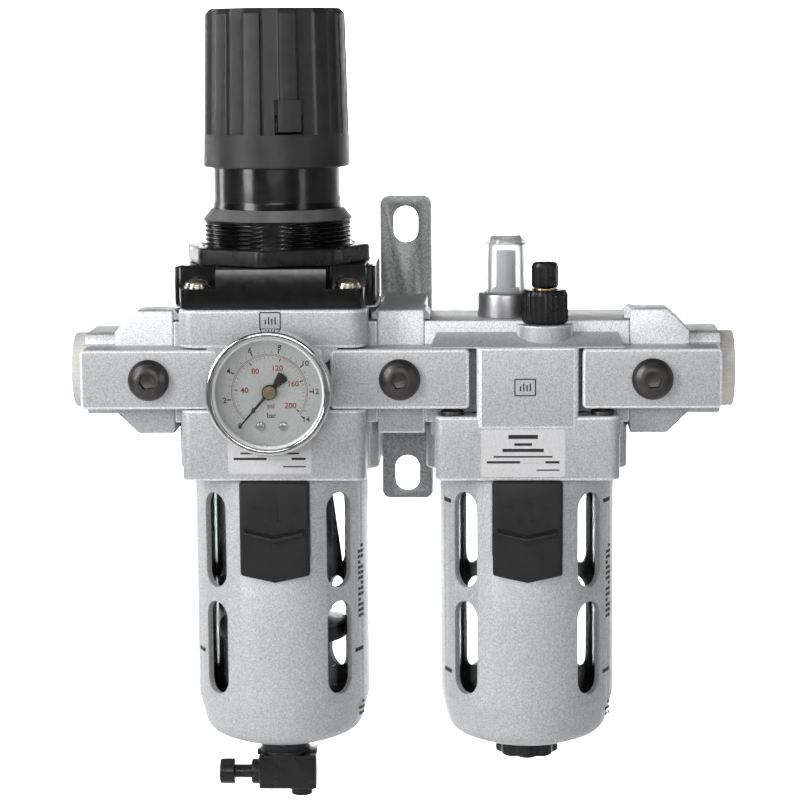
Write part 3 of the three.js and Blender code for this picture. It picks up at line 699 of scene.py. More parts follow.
def panel_nut():
    z0, z1 = (corner.z for corner in extent("panel_nut"))
    flat_radius, corner_radius, bore = 30.0, 32.1, THREAD_RADIUS + 0.3
    twist = math.radians(-29)

    def eight_sided(angle, radius, height):
        if radius < bore + 0.9:
            return radius
        away = (angle - twist + math.pi / 8) % (TAU / 8) - math.pi / 8
        return radius - flat_radius + min(flat_radius / math.cos(away), corner_radius)

    profile = [(bore, z0), (flat_radius, z0, 0.7), (flat_radius, z1 - 0.2, 1.2), (28.6, z1, 0.6),
               (bore + 0.8, z1), (bore, z1 - 0.5)]
    return revolve("panel_nut_moulding", loop(profile, 0.2), 256, eight_sided)


KNOB_RADIUS = half_width("knob")
KNOB_TAPER = 1.3 / (KNOB_TOP - KNOB_BOTTOM)
BAND_TOP = KNOB_BOTTOM + 11.3
FLUTES = 12
FLUTE_DEPTH = 1.5
FLUTE_HALF = math.radians(8.2)
FLUTE_WALL = math.radians(1.4)
LATCH_TURN = 15.5


def knob_radius(height):
    return KNOB_RADIUS - KNOB_TAPER * (height - KNOB_BOTTOM)


def fluted(angle, radius, height):
    """Sinks twelve flutes into the side of the knob, above its plain band."""
    if radius < KNOB_RADIUS - 6 or height < BAND_TOP + 0.01:
        return radius
    away = abs((from_front(angle) + math.pi / FLUTES) % (TAU / FLUTES) - math.pi / FLUTES)
    wall = max(0.0, min(1.0, (FLUTE_HALF - away) / FLUTE_WALL))
    hollow = 0.75 + 0.25 * (1 - (away / FLUTE_HALF) ** 2)
    return min(radius, knob_radius(height) - FLUTE_DEPTH * wall * hollow)


def knob():
    flute_rows = 12
    start, end = BAND_TOP + 1, KNOB_TOP - 1.9
    heights = [KNOB_BOTTOM + 5, BAND_TOP, BAND_TOP + 0.02, BAND_TOP + 0.9]
    heights += [start + (end - start) * k / flute_rows for k in range(1, flute_rows + 1)]
    outer = [(KNOB_RADIUS - 0.5, KNOB_BOTTOM), (KNOB_RADIUS, KNOB_BOTTOM + 0.5)]
    outer += [(knob_radius(height), height) for height in heights]
    outer += [(knob_radius(KNOB_TOP) - 1.5, KNOB_TOP - 0.25), (knob_radius(KNOB_TOP) - 2.3, KNOB_TOP)]
    inner = [(5.4, KNOB_TOP - 8), (5.4, 88), (22.9, 88), (22.9, KNOB_BOTTOM)]
    shell = revolve("knob_moulding", [(0, KNOB_TOP - 8), *inner, *outer, (0, KNOB_TOP)], 360, fluted)
    low, high = extent("knob_latch")
    pocket = block("pocket", -5, 5, -30, 3 - KNOB_RADIUS, low.z - 0.4, high.z + 0.2)
    return cut(shell, turn(pocket, "Z", LATCH_TURN))


def knob_latch():
    """The spring tongue in the side of the knob, with a finger step near its top."""
    low, high = extent("knob_latch")
    tongue = block("knob_latch_tongue", -3.95, 3.95, -30, 3.2 - KNOB_RADIUS, low.z + 0.6, high.z + 0.1)
    foot, head = knob_radius(low.z) - 0.15, knob_radius(high.z) - 0.15
    skin = revolve("skin", [(0, low.z), (foot, low.z), (head, high.z + 1), (0, high.z + 1)], 256)
    tongue = combine(turn(tongue, "Z", LATCH_TURN), [skin], "INTERSECT")
    step = block("step", -3.3, 3.3, -30, 0.65 - KNOB_RADIUS, high.z - 4, high.z - 0.8)
    return cut(tongue, turn(step, "Z", LATCH_TURN))


# picks the sloping shoulder above the thread, which carries a painted highlight
def on_collar_slope(spot, normal, width):
    return COLLAR_TOP - 0.3 < spot.z < 55.6 and 0.2 < normal.z < 0.95


# painted highlight on the collar's slope
light_up(show(on_unit(bonnet(), REG_X), GLOSS_BLACK, "bonnet", angle=28), COLLAR_HIGHLIGHT, on_collar_slope)
for number in range(1, 5):
    node = f"bonnet_screw_{number}"
    place = middle(node)
    show(move(pan_screw(), place.x, place.y, SCREW_SEAT), ZINC, node)
show(on_unit(panel_nut(), REG_X), SATIN_BLACK, "panel_nut")
show(on_unit(knob(), REG_X), KNOB_BLACK, "knob", angle=24)
show(on_unit(knob_latch(), REG_X), KNOB_BLACK, "knob_latch")


# ---- pressure gauge ----
# Made with the dial facing up: x to the right, y up the dial, z towards the front.
GAUGE_Z = middle("gauge_dial").z
GAUGE_FRONT = -extent("gauge_bezel")[0].y
GAUGE_RADIUS = half_width("gauge_bezel")
DIAL_FACE = -extent("gauge_dial")[0].y
ZERO_ANGLE = -139.0  # clockwise from the top of the dial
SWEEP = 266.7
FULL_BAR = 14
FULL_PSI = 200
PSI_PER_BAR = 14.5
PRINT = 0.02  # thickness of the ink


def on_gauge(piece):
    return move(to_front(piece), REG_X, 0, GAUGE_Z)


def merge(name, pieces):
    """Puts several closed pieces into one object."""
    bm = bmesh.new()
    for piece in pieces:
        bm.from_mesh(piece.data)
        bpy.data.objects.remove(piece)
    mesh = bpy.data.meshes.new(name)
    bmesh.ops.remove_doubles(bm, verts=bm.verts, dist=1e-8)
    bm.to_mesh(mesh)
    bm.free()
    merged = bpy.data.objects.new(name, mesh)
    bpy.context.scene.collection.objects.link(merged)
    return merged


def words(text, size, x, y):
    """Raised characters, centred on a point of the dial."""
    curve = bpy.data.curves.new("words", "FONT")
    curve.body = text
    curve.size = size * MM
    curve.align_x, curve.align_y = "CENTER", "CENTER"
    curve.extrude = 0.03 * MM
    curve.offset = 0.045 * MM
    curve.resolution_u = 3
    holder = bpy.data.objects.new("words", curve)
    bpy.context.scene.collection.objects.link(holder)
    bpy.context.view_layer.update()
    mesh = bpy.data.meshes.new_from_object(holder)
    bpy.data.objects.remove(holder)
    letters = bpy.data.objects.new("letters", mesh)
    bpy.context.scene.collection.objects.link(letters)
    return move(letters, x, y, DIAL_FACE + 0.01)


def on_dial(radius, bar):
    angle = math.radians(ZERO_ANGLE + SWEEP * bar / FULL_BAR)
    return radius * math.sin(angle), radius * math.cos(angle)


def tick(inner, outer, width, bar):
    mark = block("tick", -width / 2, width / 2, inner, outer, DIAL_FACE - PRINT, DIAL_FACE + 0.03)
    return turn(mark, "Z", -(ZERO_ANGLE + SWEEP * bar / FULL_BAR))


def sector(name, inner, outer, z0, z1, start, end, steps):
    """Part of a ring round the Z axis, between two directions in radians."""
    rings = []
    for k in range(steps + 1):
        angle = start + (end - start) * k / steps
        corners = ((inner, z0), (outer, z0), (outer, z1), (inner, z1))
        rings.append([(radius * math.cos(angle), radius * math.sin(angle), z) for radius, z in corners])
    return loft(name, rings)


def arc_line(inner, outer):
    start = math.radians(90 - ZERO_ANGLE)
    return sector("arc", inner, outer, DIAL_FACE - PRINT, DIAL_FACE + PRINT, start,
                  start - math.radians(SWEEP), 72)


def dial_marks():
    """The bar scale in black and the psi scale inside it in red."""
    black, red = [arc_line(12.55, 12.68)], [arc_line(12.08, 12.22)]
    for half_bars in range(2 * FULL_BAR + 1):
        bar = half_bars / 2
        if half_bars % 4:
            black.append(tick(13.1, 13.7, 0.14, bar))
        else:
            black.append(tick(13.1, 14.3, 0.42, bar))
            black.append(words(str(half_bars // 2), 2.5, *on_dial(15.1, bar)))
    for psi in range(0, FULL_PSI + 1, 5):
        bar = psi / PSI_PER_BAR
        if psi % 40:
            red.append(tick(11.1, 11.75, 0.13, bar))
        else:
            black.append(tick(10.6, 11.75, 0.38, bar))
            (red if psi else black).append(words(str(psi), 2.6, *on_dial(8.3, bar)))
    red.append(words("psi", 2.2, 0.4, -4.7))
    black.append(words("bar", 2.3, 0.5, -7.9))
    return merge("dial_marks_black", black), merge("dial_marks_red", red)


def gauge_housing():
    """Case, bezel, lens, the white lip that holds the lens and the liner behind it."""
    front, edge = GAUGE_FRONT, GAUGE_RADIUS
    back, high = (-corner.y for corner in reversed(extent("gauge_case")))
    can = [(0, back), (4.9, back), (4.9, 73), (7, 73), (7, 75), (19.6, 75.4, 1.2), (edge - 0.5, 77.5, 0.6),
           (edge - 0.5, high), (19, high), (19, 78.5), (0, 78.5)]
    ring = [(edge - 0.2, 79.5), (edge, 79.5), (edge, front, 1.1), (18.9, front, 0.7),
            (18.2, front - 2.6, 0.2), (18.75, front - 2.6), (19.3, front - 1.3), (edge - 0.35, front - 1.3)]
    window = [(0, front - 3.0), (18.1, front - 3.0), (18.1, front - 1.9), (12, front - 1.7),
              (0, front - 1.6)]
    liner = [(18.25, DIAL_FACE - 0.1), (18.7, DIAL_FACE - 0.1), (18.7, front - 2.9), (18.25, front - 2.9)]
    lip = [(17.9, front - 1.95), (17.9, front - 1.6), (18.65, front - 0.3), (18.7, front - 1.95)]
    show(on_gauge(revolve("gauge_can", rounded(can, 0.3), 128)), BLACK_OXIDE, "gauge_case")
    show(on_gauge(revolve("gauge_ring", loop(ring, 0.15, 6), 160)), CHROME, "gauge_bezel")
    show(on_gauge(revolve("gauge_window", rounded(window, 0.1), 128)), GLASS, "gauge_lens")
    show(on_gauge(revolve("gauge_liner", loop(liner, 0.05), 128)), DIAL, body="base")
    show(on_gauge(revolve("gauge_lip", loop(lip, 0.08), 128)), LIP_WHITE, body="base")


def gauge_face():
    """Dial plate with its printing and its two rivets."""
    face = DIAL_FACE
    show(on_gauge(rod("gauge_dial_plate", 18.6, face - 0.8, face, 0.1, 128)), DIAL, "gauge_dial")
    black, red = dial_marks()
    show(on_gauge(black), INK, body="base")
    show(on_gauge(red), RED_INK, body="base")
    profile = [(0, face - 0.5), (1.6, face - 0.5), (1.6, face + 0.5, 0.4), (1.1, face + 0.9, 0.4),
               (0, face + 0.95)]
    for number, x in ((1, -3.05), (2, 4.45)):
        rivet = revolve(f"dial_rivet_{number}", rounded(profile, 0.2), 32)
        slit = block("slit", -0.16, 0.16, -1.0, 1.0, face + 0.7, face + 2)
        show(on_gauge(move(cut(rivet, turn(slit, "Z", 25)), x, -11.4)), NICKEL, body="base")


def gauge_needle():
    """Pointer at its zero mark, with the cap over its hub."""
    face = DIAL_FACE
    right = [(0.62, -2), (0.5, 2), (0.26, 14.6), (0.42, 15.2)]
    tail = [(-0.62, -2), (-2.05, -7.2), (-0.9, -7.75), (0.9, -7.75), (2.05, -7.2)]
    left = [(-x, y) for x, y in reversed(right[1:])]
    needle = extrude("gauge_needle", [*tail, *right, (0, 15.9), *left], face + 1.3, face + 1.6)
    boss = rod("boss", 2.45, face + 0.4, face + 1.9, 0.1, 48)
    show(on_gauge(turn(join(needle, boss), "Z", -ZERO_ANGLE)), INK, "gauge_pointer")
    cap = [(0, face + 1.8), (2.15, face + 1.8), (2.15, face + 2.3), (0.35, face + 2.35), (0.25, face + 2.2),
           (0, face + 2.2)]
    show(on_gauge(revolve("gauge_hub", rounded(cap, 0.12), 48)), HUB_OLIVE, body="pointer")


gauge_housing()
gauge_face()
gauge_needle()


# ---- bowls, guards and locks ----
GUARD_WALL = 2.2
WINDOW_WIDTH = 11.0
WINDOW_ROWS = ((-74.6, -41.3), (-112.6, -79.6))
LOCK_HALF = half_width("reg_lock_button")
LOCK_STEP = -57.7
CREASE = math.radians(68)


def creased(angle, radius, height):
    """Fine upright grooves that divide the front of the guard from its sides."""
    if radius < GUARD_RADIUS - 1.2 or height < -116 or height > GUARD_TOP - 0.5:
        return radius
    away = abs(abs(from_front(angle)) - CREASE)
    back = abs(math.pi - abs(from_front(angle)) - CREASE)
    return radius - 0.3 * max(0.0, 1 - min(away, back) / math.radians(1.6))


def guard(name):
    low, inner = GUARD_BOTTOM, GUARD_RADIUS - GUARD_WALL
    upright = [(GUARD_RADIUS, height) for height in (-115.9, -115.5, -90, -60, GUARD_TOP - 0.8)]
    outer = [(9.1, low), (19, low, 8), (27.3, low + 3.4, 7), (GUARD_RADIUS, low + 16, 9), *upright,
             (GUARD_RADIUS - 0.3, GUARD_TOP), (27.7, GUARD_TOP), (27.7, -23)]
    inside = [(26.2, -23), (26.2, GUARD_TOP - 2), (inner, GUARD_TOP - 4), (inner, -119, 6), (22, -129.8, 6),
              (9.1, -129.8)]
    shell = revolve(name, loop([*outer, *inside], 0.15, 6), 270, creased)
    windows = []
    for z0, z1 in WINDOW_ROWS:
        outline = round_rect(WINDOW_WIDTH, z1 - z0, WINDOW_WIDTH / 2 - 0.01, 12)
        for degrees in (45, 135, 225, 315):
            opening = move(facing("window", outline, 18, 40), z=(z0 + z1) / 2)
            windows.append(turn(opening, "Z", degrees))
    half = LOCK_HALF + 0.25
    pocket = block("pocket", -half, half, -40, 3.0 - GUARD_RADIUS, LOCK_STEP - 4.6, GUARD_TOP + 1)
    return bevel(cut(shell, *windows, pocket), 0.3, 2, 58)


# picks the guard's inner faces, which carry painted shade
def faces_inwards(axis_x):
    def chosen(spot, normal, width):
        x, y = spot.x - axis_x, spot.y - AXIS_Y
        return math.hypot(x, y) < GUARD_RADIUS - GUARD_WALL + 0.15 and x * normal.x + y * normal.y < 0
    return chosen


def bowl(name):
    low, high = (corner.z for corner in extent("reg_bowl"))
    outer = half_width("reg_bowl_seal") - 1.1
    inner = outer - 1.7
    rim = high - 2.3
    profile = [(5, low), (17, low, 6), (outer, low + 9.4, 7), (outer, rim), (27.6, rim), (27.6, high),
               (inner, high), (inner, low + 10, 7), (16, low + 2, 5), (5, low + 2)]
    return revolve(name, loop(profile, 0.3, 6), 128)


def chevron(half, foot, thick):
    """A shallow V whose sides rise 2.3 mm."""
    tips = [(-half, foot + 2.3), (0, foot), (half, foot + 2.3)]
    return tips + [(x, z + thick) for x, z in reversed(tips)]


def lock_button(name):
    """Shield with a pointed foot, bevelled sides, a finger ledge and a raised arrow."""
    low, high = extent("reg_lock_button")
    front, back = low.y - AXIS_Y + 1.8, 2.8 - GUARD_RADIUS
    half, foot = LOCK_HALF, low.z + 2.6
    outline = [(-half, high.z - 5), (-half, foot), (0, low.z), (half, foot), (half, high.z - 5)]
    shield = bevel(facing(name, outline, -back, -front), 0.9, 3)
    ledge = bevel(facing("ledge", chevron(half - 1.9, -56.9, 1.7), 31, 1.6 - front), 0.45, 3)
    groove = facing("groove", chevron(half - 1.4, -55.0, 0.8), -front - 0.9, 40)
    shaft = block("shaft", -1.1, 1.1, front - 0.25, -31, -50.5, -43)
    raised = 0.25 - front
    arrow = facing("arrow", [(-3.4, -49.5), (0, -53.2), (3.4, -49.5)], 31, raised)
    ears = [facing("ear", [(side * 5.2, -44.5), (side * 8, -44.5), (side * 6.6, -46.8)], 31, raised)
            for side in (-1, 1)]
    tongue = block("tongue", -3.5, 3.5, -28.9, -28.1, GUARD_TOP - 3, -31)
    outside, inside, top = GUARD_RADIUS + 0.3, GUARD_RADIUS - GUARD_WALL, GUARD_TOP - 1.4
    room = revolve("room", [(0, -100), (outside, -100), (outside, LOCK_STEP), (inside, LOCK_STEP),
                            (inside, top), (27, top), (27, 0), (0, 0)], 144)
    return cut(join(cut(shield, groove), ledge, shaft, arrow, *ears, tongue), room)


def level_marks(prefix, x, heights):
    """Short black bars on both sides of a guard, at its highest and lowest level."""
    for number, height in enumerate(heights, 1):
        bars = [curved_bar(angle, 5.5, height, 0.7) for angle in (-65, 65)]
        piece = merge(f"{prefix}_level_mark_{number}", bars)
        show(on_unit(piece, x), INK, body=f"{prefix}_bowl")


def curved_bar(angle, half_angle, height, half_height, steps=6):
    """A thin bar printed on the guard; angles are in degrees from its front."""
    start, end = (FRONT + math.radians(angle + side * half_angle) for side in (-1, 1))
    low, high = height - half_height, height + half_height
    return sector("bar", GUARD_RADIUS - 0.1, GUARD_RADIUS + 0.04, low, high, start, end, steps)


def side_print(prefix, x, rows):
    """Two columns of short bars in place of small print on the right; rows are (top, number of bars)."""
    bars = []
    for top, count in rows:
        for k in range(count):
            for column, angle in enumerate((65.5, 70.0)):
                if (3 * k + 5 * column) % 7:
                    bars.append(curved_bar(angle, 1.7, top - 1.9 * k, 0.55, 2))
    show(on_unit(merge(f"{prefix}_side_print", bars), x), INK, body=f"{prefix}_bowl")


for prefix, axis_x, marks in (("reg", REG_X, (-98.6,)), ("lub", LUB_X, (-45.5, -106))):
    shell = show(on_unit(guard(f"{prefix}_guard_shell"), axis_x), GUARD_SILVER, f"{prefix}_guard", angle=26)
    # painted shade on the inside of the guard
    light_up(shell, GUARD_INSIDE_SHADE, faces_inwards(axis_x))
    show(on_unit(bowl(f"{prefix}_bowl_moulding"), axis_x), POLYCARBONATE, f"{prefix}_bowl")
    show(on_unit(lock_button(f"{prefix}_lock_shield"), axis_x), TEXTURED_BLACK, f"{prefix}_lock_button")
    level_marks(prefix, axis_x, marks)
    side_print(prefix, axis_x, ((-62, 14), (-118, 3)))


# ---- drains ----
def drain_body():
    """Body of the manual drain: neck, block with side lugs, button collar and outlet."""
    low, high = extent("drain_body")
    left, right = low.x - REG_X, high.x - REG_X
    axis = middle("drain_button").z
    block_left = left + 2.1
    top, bottom = axis + 7.9, axis - 4.4
    outlet_x = 5.6
    neck = revolve("drain_moulding", rounded([(0, -140), (8.7, -140), (8.7, -130, 0), (4.7, -130, 0),
                                              (4.7, high.z, 0), (0, high.z)], 0.3), 64)
    ring = revolve("ring", rounded([(0, -139), (9.3, -139, 0.4), (9.3, -137.6, 0.6), (0, -137.6)], 0.1), 64)
    main = block("main", block_left + 1, right, -8, 8, bottom, top, 0.6)
    lugs = block("lugs", block_left, right, -3, 3, top - 1, -138.2, 0.4)
    outlet = move(rod("outlet", 3.9, low.z, -150, 0.5, 48), outlet_x)
    collar = move(along_x(rod("collar", 4.5, left, block_left + 3, 0.5, 48)), z=axis)
    bore = move(along_x(rod("bore", 2.75, left - 2, -4, 0, 48)), z=axis)
    outlet_bore = move(rod("outlet_bore", 1.8, low.z - 1, -146), outlet_x)
    return cut(join(neck, ring, main, lugs, outlet, collar), bore, outlet_bore)


def drain_button():
    low, high = extent("drain_button")
    left, right = low.x - REG_X, high.x - REG_X
    head = left + 5.4
    profile = [(0, left), (4.5, left, 0.6), (4.55, head, 0.5), (2.4, head, 0.3), (2.4, right), (0, right)]
    plunger = revolve("drain_plunger", rounded(profile, 0.3), 64)
    return move(along_x(plunger), z=middle("drain_button").z)


def lobed(angle, radius, height):
    """Eight soft lobes round the drain knob."""
    if radius < 9:
        return radius
    return radius - 1.25 * (0.5 - 0.5 * math.cos(8 * angle)) ** 1.5


def lub_drain():
    low, high = extent("lub_drain_knob")
    reach = half_width("lub_drain_knob")
    profile = [(0, low.z), (6, low.z, 0.8), (7, low.z + 0.8, 0.6), (reach - 1, low.z + 0.5, 0.6),
               (reach, low.z + 1.2, 0.6), (reach, -133.4, 0.8), (reach - 1.4, -132.5, 0.4), (8.7, -132.5),
               (8.7, -130), (4.7, -130), (4.7, high.z), (0, high.z)]
    return revolve("lub_drain_moulding", rounded(profile, 0), 192, lobed)


show(on_unit(drain_body(), REG_X), SATIN_BLACK, "drain_body")
show(on_unit(drain_button(), REG_X), SATIN_BLACK, "drain_button")
show(on_unit(lub_drain(), LUB_X), SATIN_BLACK, "lub_drain_knob")


# ---- top of the lubricator ----
def ribbed(count, depth, outer):
    """Returns a shape for revolve that cuts fine ribs into radii near the outer one."""
    def shape(angle, radius, height):
        if radius < outer - 0.05:
            return radius
        return radius - depth * (0.5 + 0.5 * math.cos(count * angle)) ** 0.7
    return shape


def sight_glass():
    """Turned base, clear dome and the drip nozzle inside it."""
    place = middle("sight_dome")
    low, high = extent("sight_base")
    radius = half_width("sight_base")
    base = [(3, low.z), (radius, low.z, 0.2), (radius, high.z, 1.0), (7.6, high.z, 0.3),
            (7.6, high.z - 0.9), (3, high.z - 0.9)]
    turned = revolve("sight_base_turned", loop(base, 0.2), 128)
    show(move(turned, place.x, place.y), ALUMINIUM, "sight_base")
    low, high = extent("sight_dome")
    outside = rounded([(7.15, low.z), (6.95, high.z, 2.8), (0, high.z)], 0, 12)
    inside = rounded([(0, high.z - 2.0), (4.9, high.z - 2.2, 1.8), (5.2, high.z - 7)], 0, 8)
    dome = revolve("sight_dome_moulding", [(5.4, low.z), *outside, *inside, (5.4, low.z)], 96)
    show(move(dome, place.x, place.y), SIGHT_CLEAR, "sight_dome")
    tube = [(0.9, 22), (2.6, 22), (2.6, 26.0), (4.7, 26.0), (4.7, 27.4, 0.4), (3.4, 27.4), (3.4, 40.4, 0.6),
            (2.6, 40.4, 0.3), (2.6, 35), (0.9, 35)]
    nozzle = revolve("drip_nozzle", loop(tube, 0.15), 48)
    show(move(nozzle, place.x, place.y), SIGHT_WHITE, "drip_tube")


def fill_cap():
    """Ribbed fill plug with the ribbed feed knob and its gland on top."""
    place = middle("fill_plug")
    low, high = extent("fill_plug")
    plug = [(0, low.z), (4.1, low.z), (4.1, 16.8), (7.2, 16.8, 0.3), (7.9, 17.7), (7.9, 26.6),
            (7.2, high.z, 0.8), (2.5, high.z, 0.2), (2.5, high.z - 4), (0, high.z - 4)]
    cap = revolve("fill_cap", rounded(plug, 0.1), 216, ribbed(27, 0.4, 7.9))
    show(move(cap, place.x, place.y), SATIN_BLACK, "fill_plug")
    low, high = extent("feed_knob")
    knob_side = [(0, low.z), (2, low.z), (2, 28.9), (4.2, 28.9, 0.2), (4.65, 29.6), (4.65, high.z - 1.5),
                 (4.2, high.z - 0.3, 0.4), (3.6, high.z, 0.3), (3.0, high.z - 0.5, 0.2), (0, high.z - 0.5)]
    feed = revolve("feed_cap", rounded(knob_side, 0.1), 120, ribbed(15, 0.3, 4.65))
    show(move(feed, place.x, place.y), SATIN_BLACK, "feed_knob")
    gland = revolve("feed_gland", loop([(2.15, 28.0), (4.3, 28.0), (4.3, 28.7), (2.15, 28.7)], 0.2), 64)
    show(move(gland, place.x, place.y), BRASS, body="fill_plug")


def cover_screws():
    """Cap screws that hold the head of the lubricator down, beside its front boss."""
    profile = [(0, -15), (3.9, -15), (3.9, -12.2, 0.4), (2.2, -12.2, 0.1), (2.2, -13.4), (0, -13.4)]
    for number, side in enumerate((-1, 1), 1):
        head = revolve(f"cover_screw_{number}", rounded(profile, 0.2), 48)
        show(move(head, LUB_X + side * 25.6, AXIS_Y - 25.6), BLACK_OXIDE, body="base")


sight_glass()
fill_cap()
cover_screws()


# ---- joint hardware ----
BRACKET_SCREW_Z = (-12, 12)


def screw_hole(x):
    return move(to_front(rod("screw_hole", 4.2, 44, 64)), x, 0, CLAMP_Z)


def hook(x0, x1):
    """The tooth on top of an end block, with its chamfered nose."""
    nose, foot = 1.6, 18
    shape = [(x0, foot), (x0 + nose, foot), (x1 - nose, foot), (x1, foot), (x1, BLOCK_HALF - nose),
             (x1 - nose, BLOCK_HALF), (x0 + nose, BLOCK_HALF), (x0, BLOCK_HALF - nose)]
    return facing("hook", shape, 0, JOINT_HALF - 2)


def end_adapter(name, side):
    """End block with its threaded boss; side is -1 on the left and 1 on the right."""
    low, high = extent("adapter_right" if side > 0 else "adapter_left")
    end = max(high.x, -low.x)
    joint = UNIT_PITCH_HALF + UNIT_HALF + 0.1
    taper, root, half = 91, 98.5, BLOCK_HALF
    outline = [(joint, -half), (taper, -half), (root, 7.3 - half), (root, half - 7.3), (taper, half),
               (joint, half)]
    body = facing(name, outline, -JOINT_HALF, JOINT_HALF)
    body = bevel(cut(body, rear_slope(-2, half, 14)), 0.7, 3)
    boss = along_x(slab("end_boss", 28.6, 28.4, 4, root - 2, end, 0.7))
    boss_z = middle("port_cap_right").z
    piece = join(body, move(boss, z=boss_z), hook(joint - 1.9, joint + 3))
    piece = cut(piece, port_along(joint - 1, 100), port_along(99, end + 1, 9.6, boss_z),
                move(screw_hole(CLAMP_X), y=-AXIS_Y))
    return move(piece if side > 0 else mirrored(piece), y=AXIS_Y)


def port_cap(name, side):
    """Push-in cap with a knurled rim; side is -1 on the left and 1 on the right."""
    low, high = extent("port_cap_right")
    seat, end = extent("adapter_right")[1].x + 0.1, high.x
    edge = (high.y - low.y) / 2
    profile = [(0, low.x), (9.1, low.x), (9.1, seat, 0), (edge, seat, 0.3), (edge, end, 0.8),
               (edge - 3, end, 0.4), (edge - 3.6, end - 0.7, 0.3), (0, end - 0.7)]
    piece = along_x(revolve(name, rounded(profile, 0.3), 240, ribbed(60, 0.22, edge)))
    return move(piece if side > 0 else mirrored(piece), y=AXIS_Y, z=middle("port_cap_right").z)


def clamp_plate(name, node):
    low, high = extent(node)
    place = middle(node)
    width, height, wall = high.x - low.x, high.z - low.z, 2.4
    front, back = -low.y, -high.y
    tray = slab(name, width, height, 1.6, back + 0.2, front, 0.9)
    hollow = block("hollow", wall - width / 2, width / 2 - wall, wall - height / 2, height / 2 - wall,
                   back - 1, front - 4)
    pad = block("pad", -6.8, 6.8, -8, 8, back + 0.1, front - 3)
    plate = cut(join(cut(tray, hollow), pad), rod("hole", 4.2, 40, 90))
    return move(to_front(plate), place.x, 0, place.z)


def clamp_screw(name, node):
    seat, top = -FRONT_Y + 0.1, -extent(node)[0].y
    profile = [(0, 49), (3.9, 49), (3.9, seat), (7, seat, 0.2), (7, seat + 0.9, 0.5), (6.1, seat + 2.6, 2),
               (4.4, top - 0.3, 1.5), (3.5, top, 0.4), (0, top)]
    body = revolve(name, rounded(profile, 0.2, 6), 96)
    socket = revolve("socket", [(0, seat + 1.2), (2.5, seat + 1.5), (2.9, seat + 1.6), (2.9, top - 0.2),
                                (3.4, top + 0.6), (0, top + 0.6)], 6)
    place = middle(node)
    return move(to_front(cut(body, turn(socket, "Z", 8))), place.x, 0, place.z)


def spacer_block():
    low, high = extent("spacer")
    half = UNIT_PITCH_HALF - UNIT_HALF - 0.1
    body = block("spacer_block", -half, half, low.y, -10, low.z, high.z, 0.7)
    foot = block("foot", -half + 0.2, half - 0.2, -12, high.y, low.z + 0.2, high.z - 0.2)
    top = move(hook(low.x, high.x), y=AXIS_Y)
    holes = [move(to_front(rod("hole", 2.4, 0, 14)), 0, 0, z) for z in BRACKET_SCREW_Z]
    return cut(join(body, foot, top), move(port_along(-12, 12), y=AXIS_Y), screw_hole(0), *holes)


def bracket_plate():
    low, high = extent("bracket")
    height, width = high.z - low.z, high.x - low.x
    centre = (low.z + high.z) / 2
    plate = slab("bracket_plate", width, height, 3.2, 0.05, 3, 0.5)
    for z in (-44.8, 46.6):
        slot = extrude("slot", round_rect(8.8, 13.2, 4.39, 12), -1, 5)
        plate = cut(plate, move(slot, y=z - centre))
    for z in BRACKET_SCREW_Z:
        hole = revolve("hole", [(0, -1), (5, -1), (5, 0.4), (2.6, 2.8), (2.6, 4), (0, 4)], 48)
        plate = cut(plate, move(hole, y=z - centre))
    return move(to_front(bevel(plate, 0.7, 2, 50)), z=centre)


def bracket_screw(name, node):
    z = middle(node).z
    body = revolve(name, rounded([(0, 0.4), (4.6, 0.4), (4.6, 0.8), (2.1, 3), (2.1, 13), (0, 13)], 0.1), 48)
    socket = rod("socket", 1.7, 0, 1.9, 0, 6)
    return move(to_front(cut(body, socket)), z=z)


for side, suffix in ((-1, "left"), (1, "right")):
    adapter = split_at(end_adapter(f"end_block_{suffix}", side), WALL_FOOT)
    # painted highlight on the end blocks' front walls above the clamp plates
    light_up(show(adapter, SILVER, f"adapter_{suffix}"), PAINTED_HIGHLIGHT_SILVER, on_wall)
    show(port_cap(f"dust_cap_{suffix}", side), CAP_WHITE, f"port_cap_{suffix}")
for suffix in ("left", "middle", "right"):
    plate_node, screw_node = f"clamp_plate_{suffix}", f"clamp_screw_{suffix}"
    tray = show(clamp_plate(f"clamp_tray_{suffix}", plate_node), SILVER, plate_node)
    # painted highlight on the clamp plates' rounded edges
    light_up(tray, PAINTED_HIGHLIGHT_SILVER, on_bevel)
    show(clamp_screw(f"button_screw_{suffix}", screw_node), BLACK_OXIDE, screw_node)
# painted highlight on the spacer's rounded edges and set-back front wall, and on the bracket's rounded
# edges
light_up(show(split_at(spacer_block(), WALL_FOOT), SILVER, "spacer"), PAINTED_HIGHLIGHT_SILVER, on_bevel_or_wall)
light_up(show(bracket_plate(), BRACKET, "bracket"), PAINTED_HIGHLIGHT_SILVER, on_bevel)
for number in (1, 2):
    node = f"bracket_screw_{number}"
    show(bracket_screw(f"flat_screw_{number}", node), BLACK_OXIDE, node)


# ---- inside the filter and the lubricator ----
def shroud():
    """Swirl disc under the regulator with the cone that hangs round the filter element."""
    disc = revolve("swirl_disc", loop([(6, -19), (23.9, -19), (23.9, -16), (6, -16)], 0.3), 96)
    skirt = [(15.6, -18), (17.6, -18), (17.6, -42), (21.0, -68), (21.2, -73), (20.2, -73), (20.0, -68),
             (16.6, -42), (15.6, -30)]
    cone = revolve("cone", loop(skirt, 0.3), 96)
    hub = revolve("hub", loop([(6.4, -17), (8.6, -17), (8.6, -8.5), (6.4, -8.5)], 0.2), 64)
    gaps = around(8, lambda: move(turn(block("gap", 18.5, 26, -0.8, 0.8, -8, 8), "X", 35), z=-17.5))
    return cut(join(disc, cone, hub), *gaps)


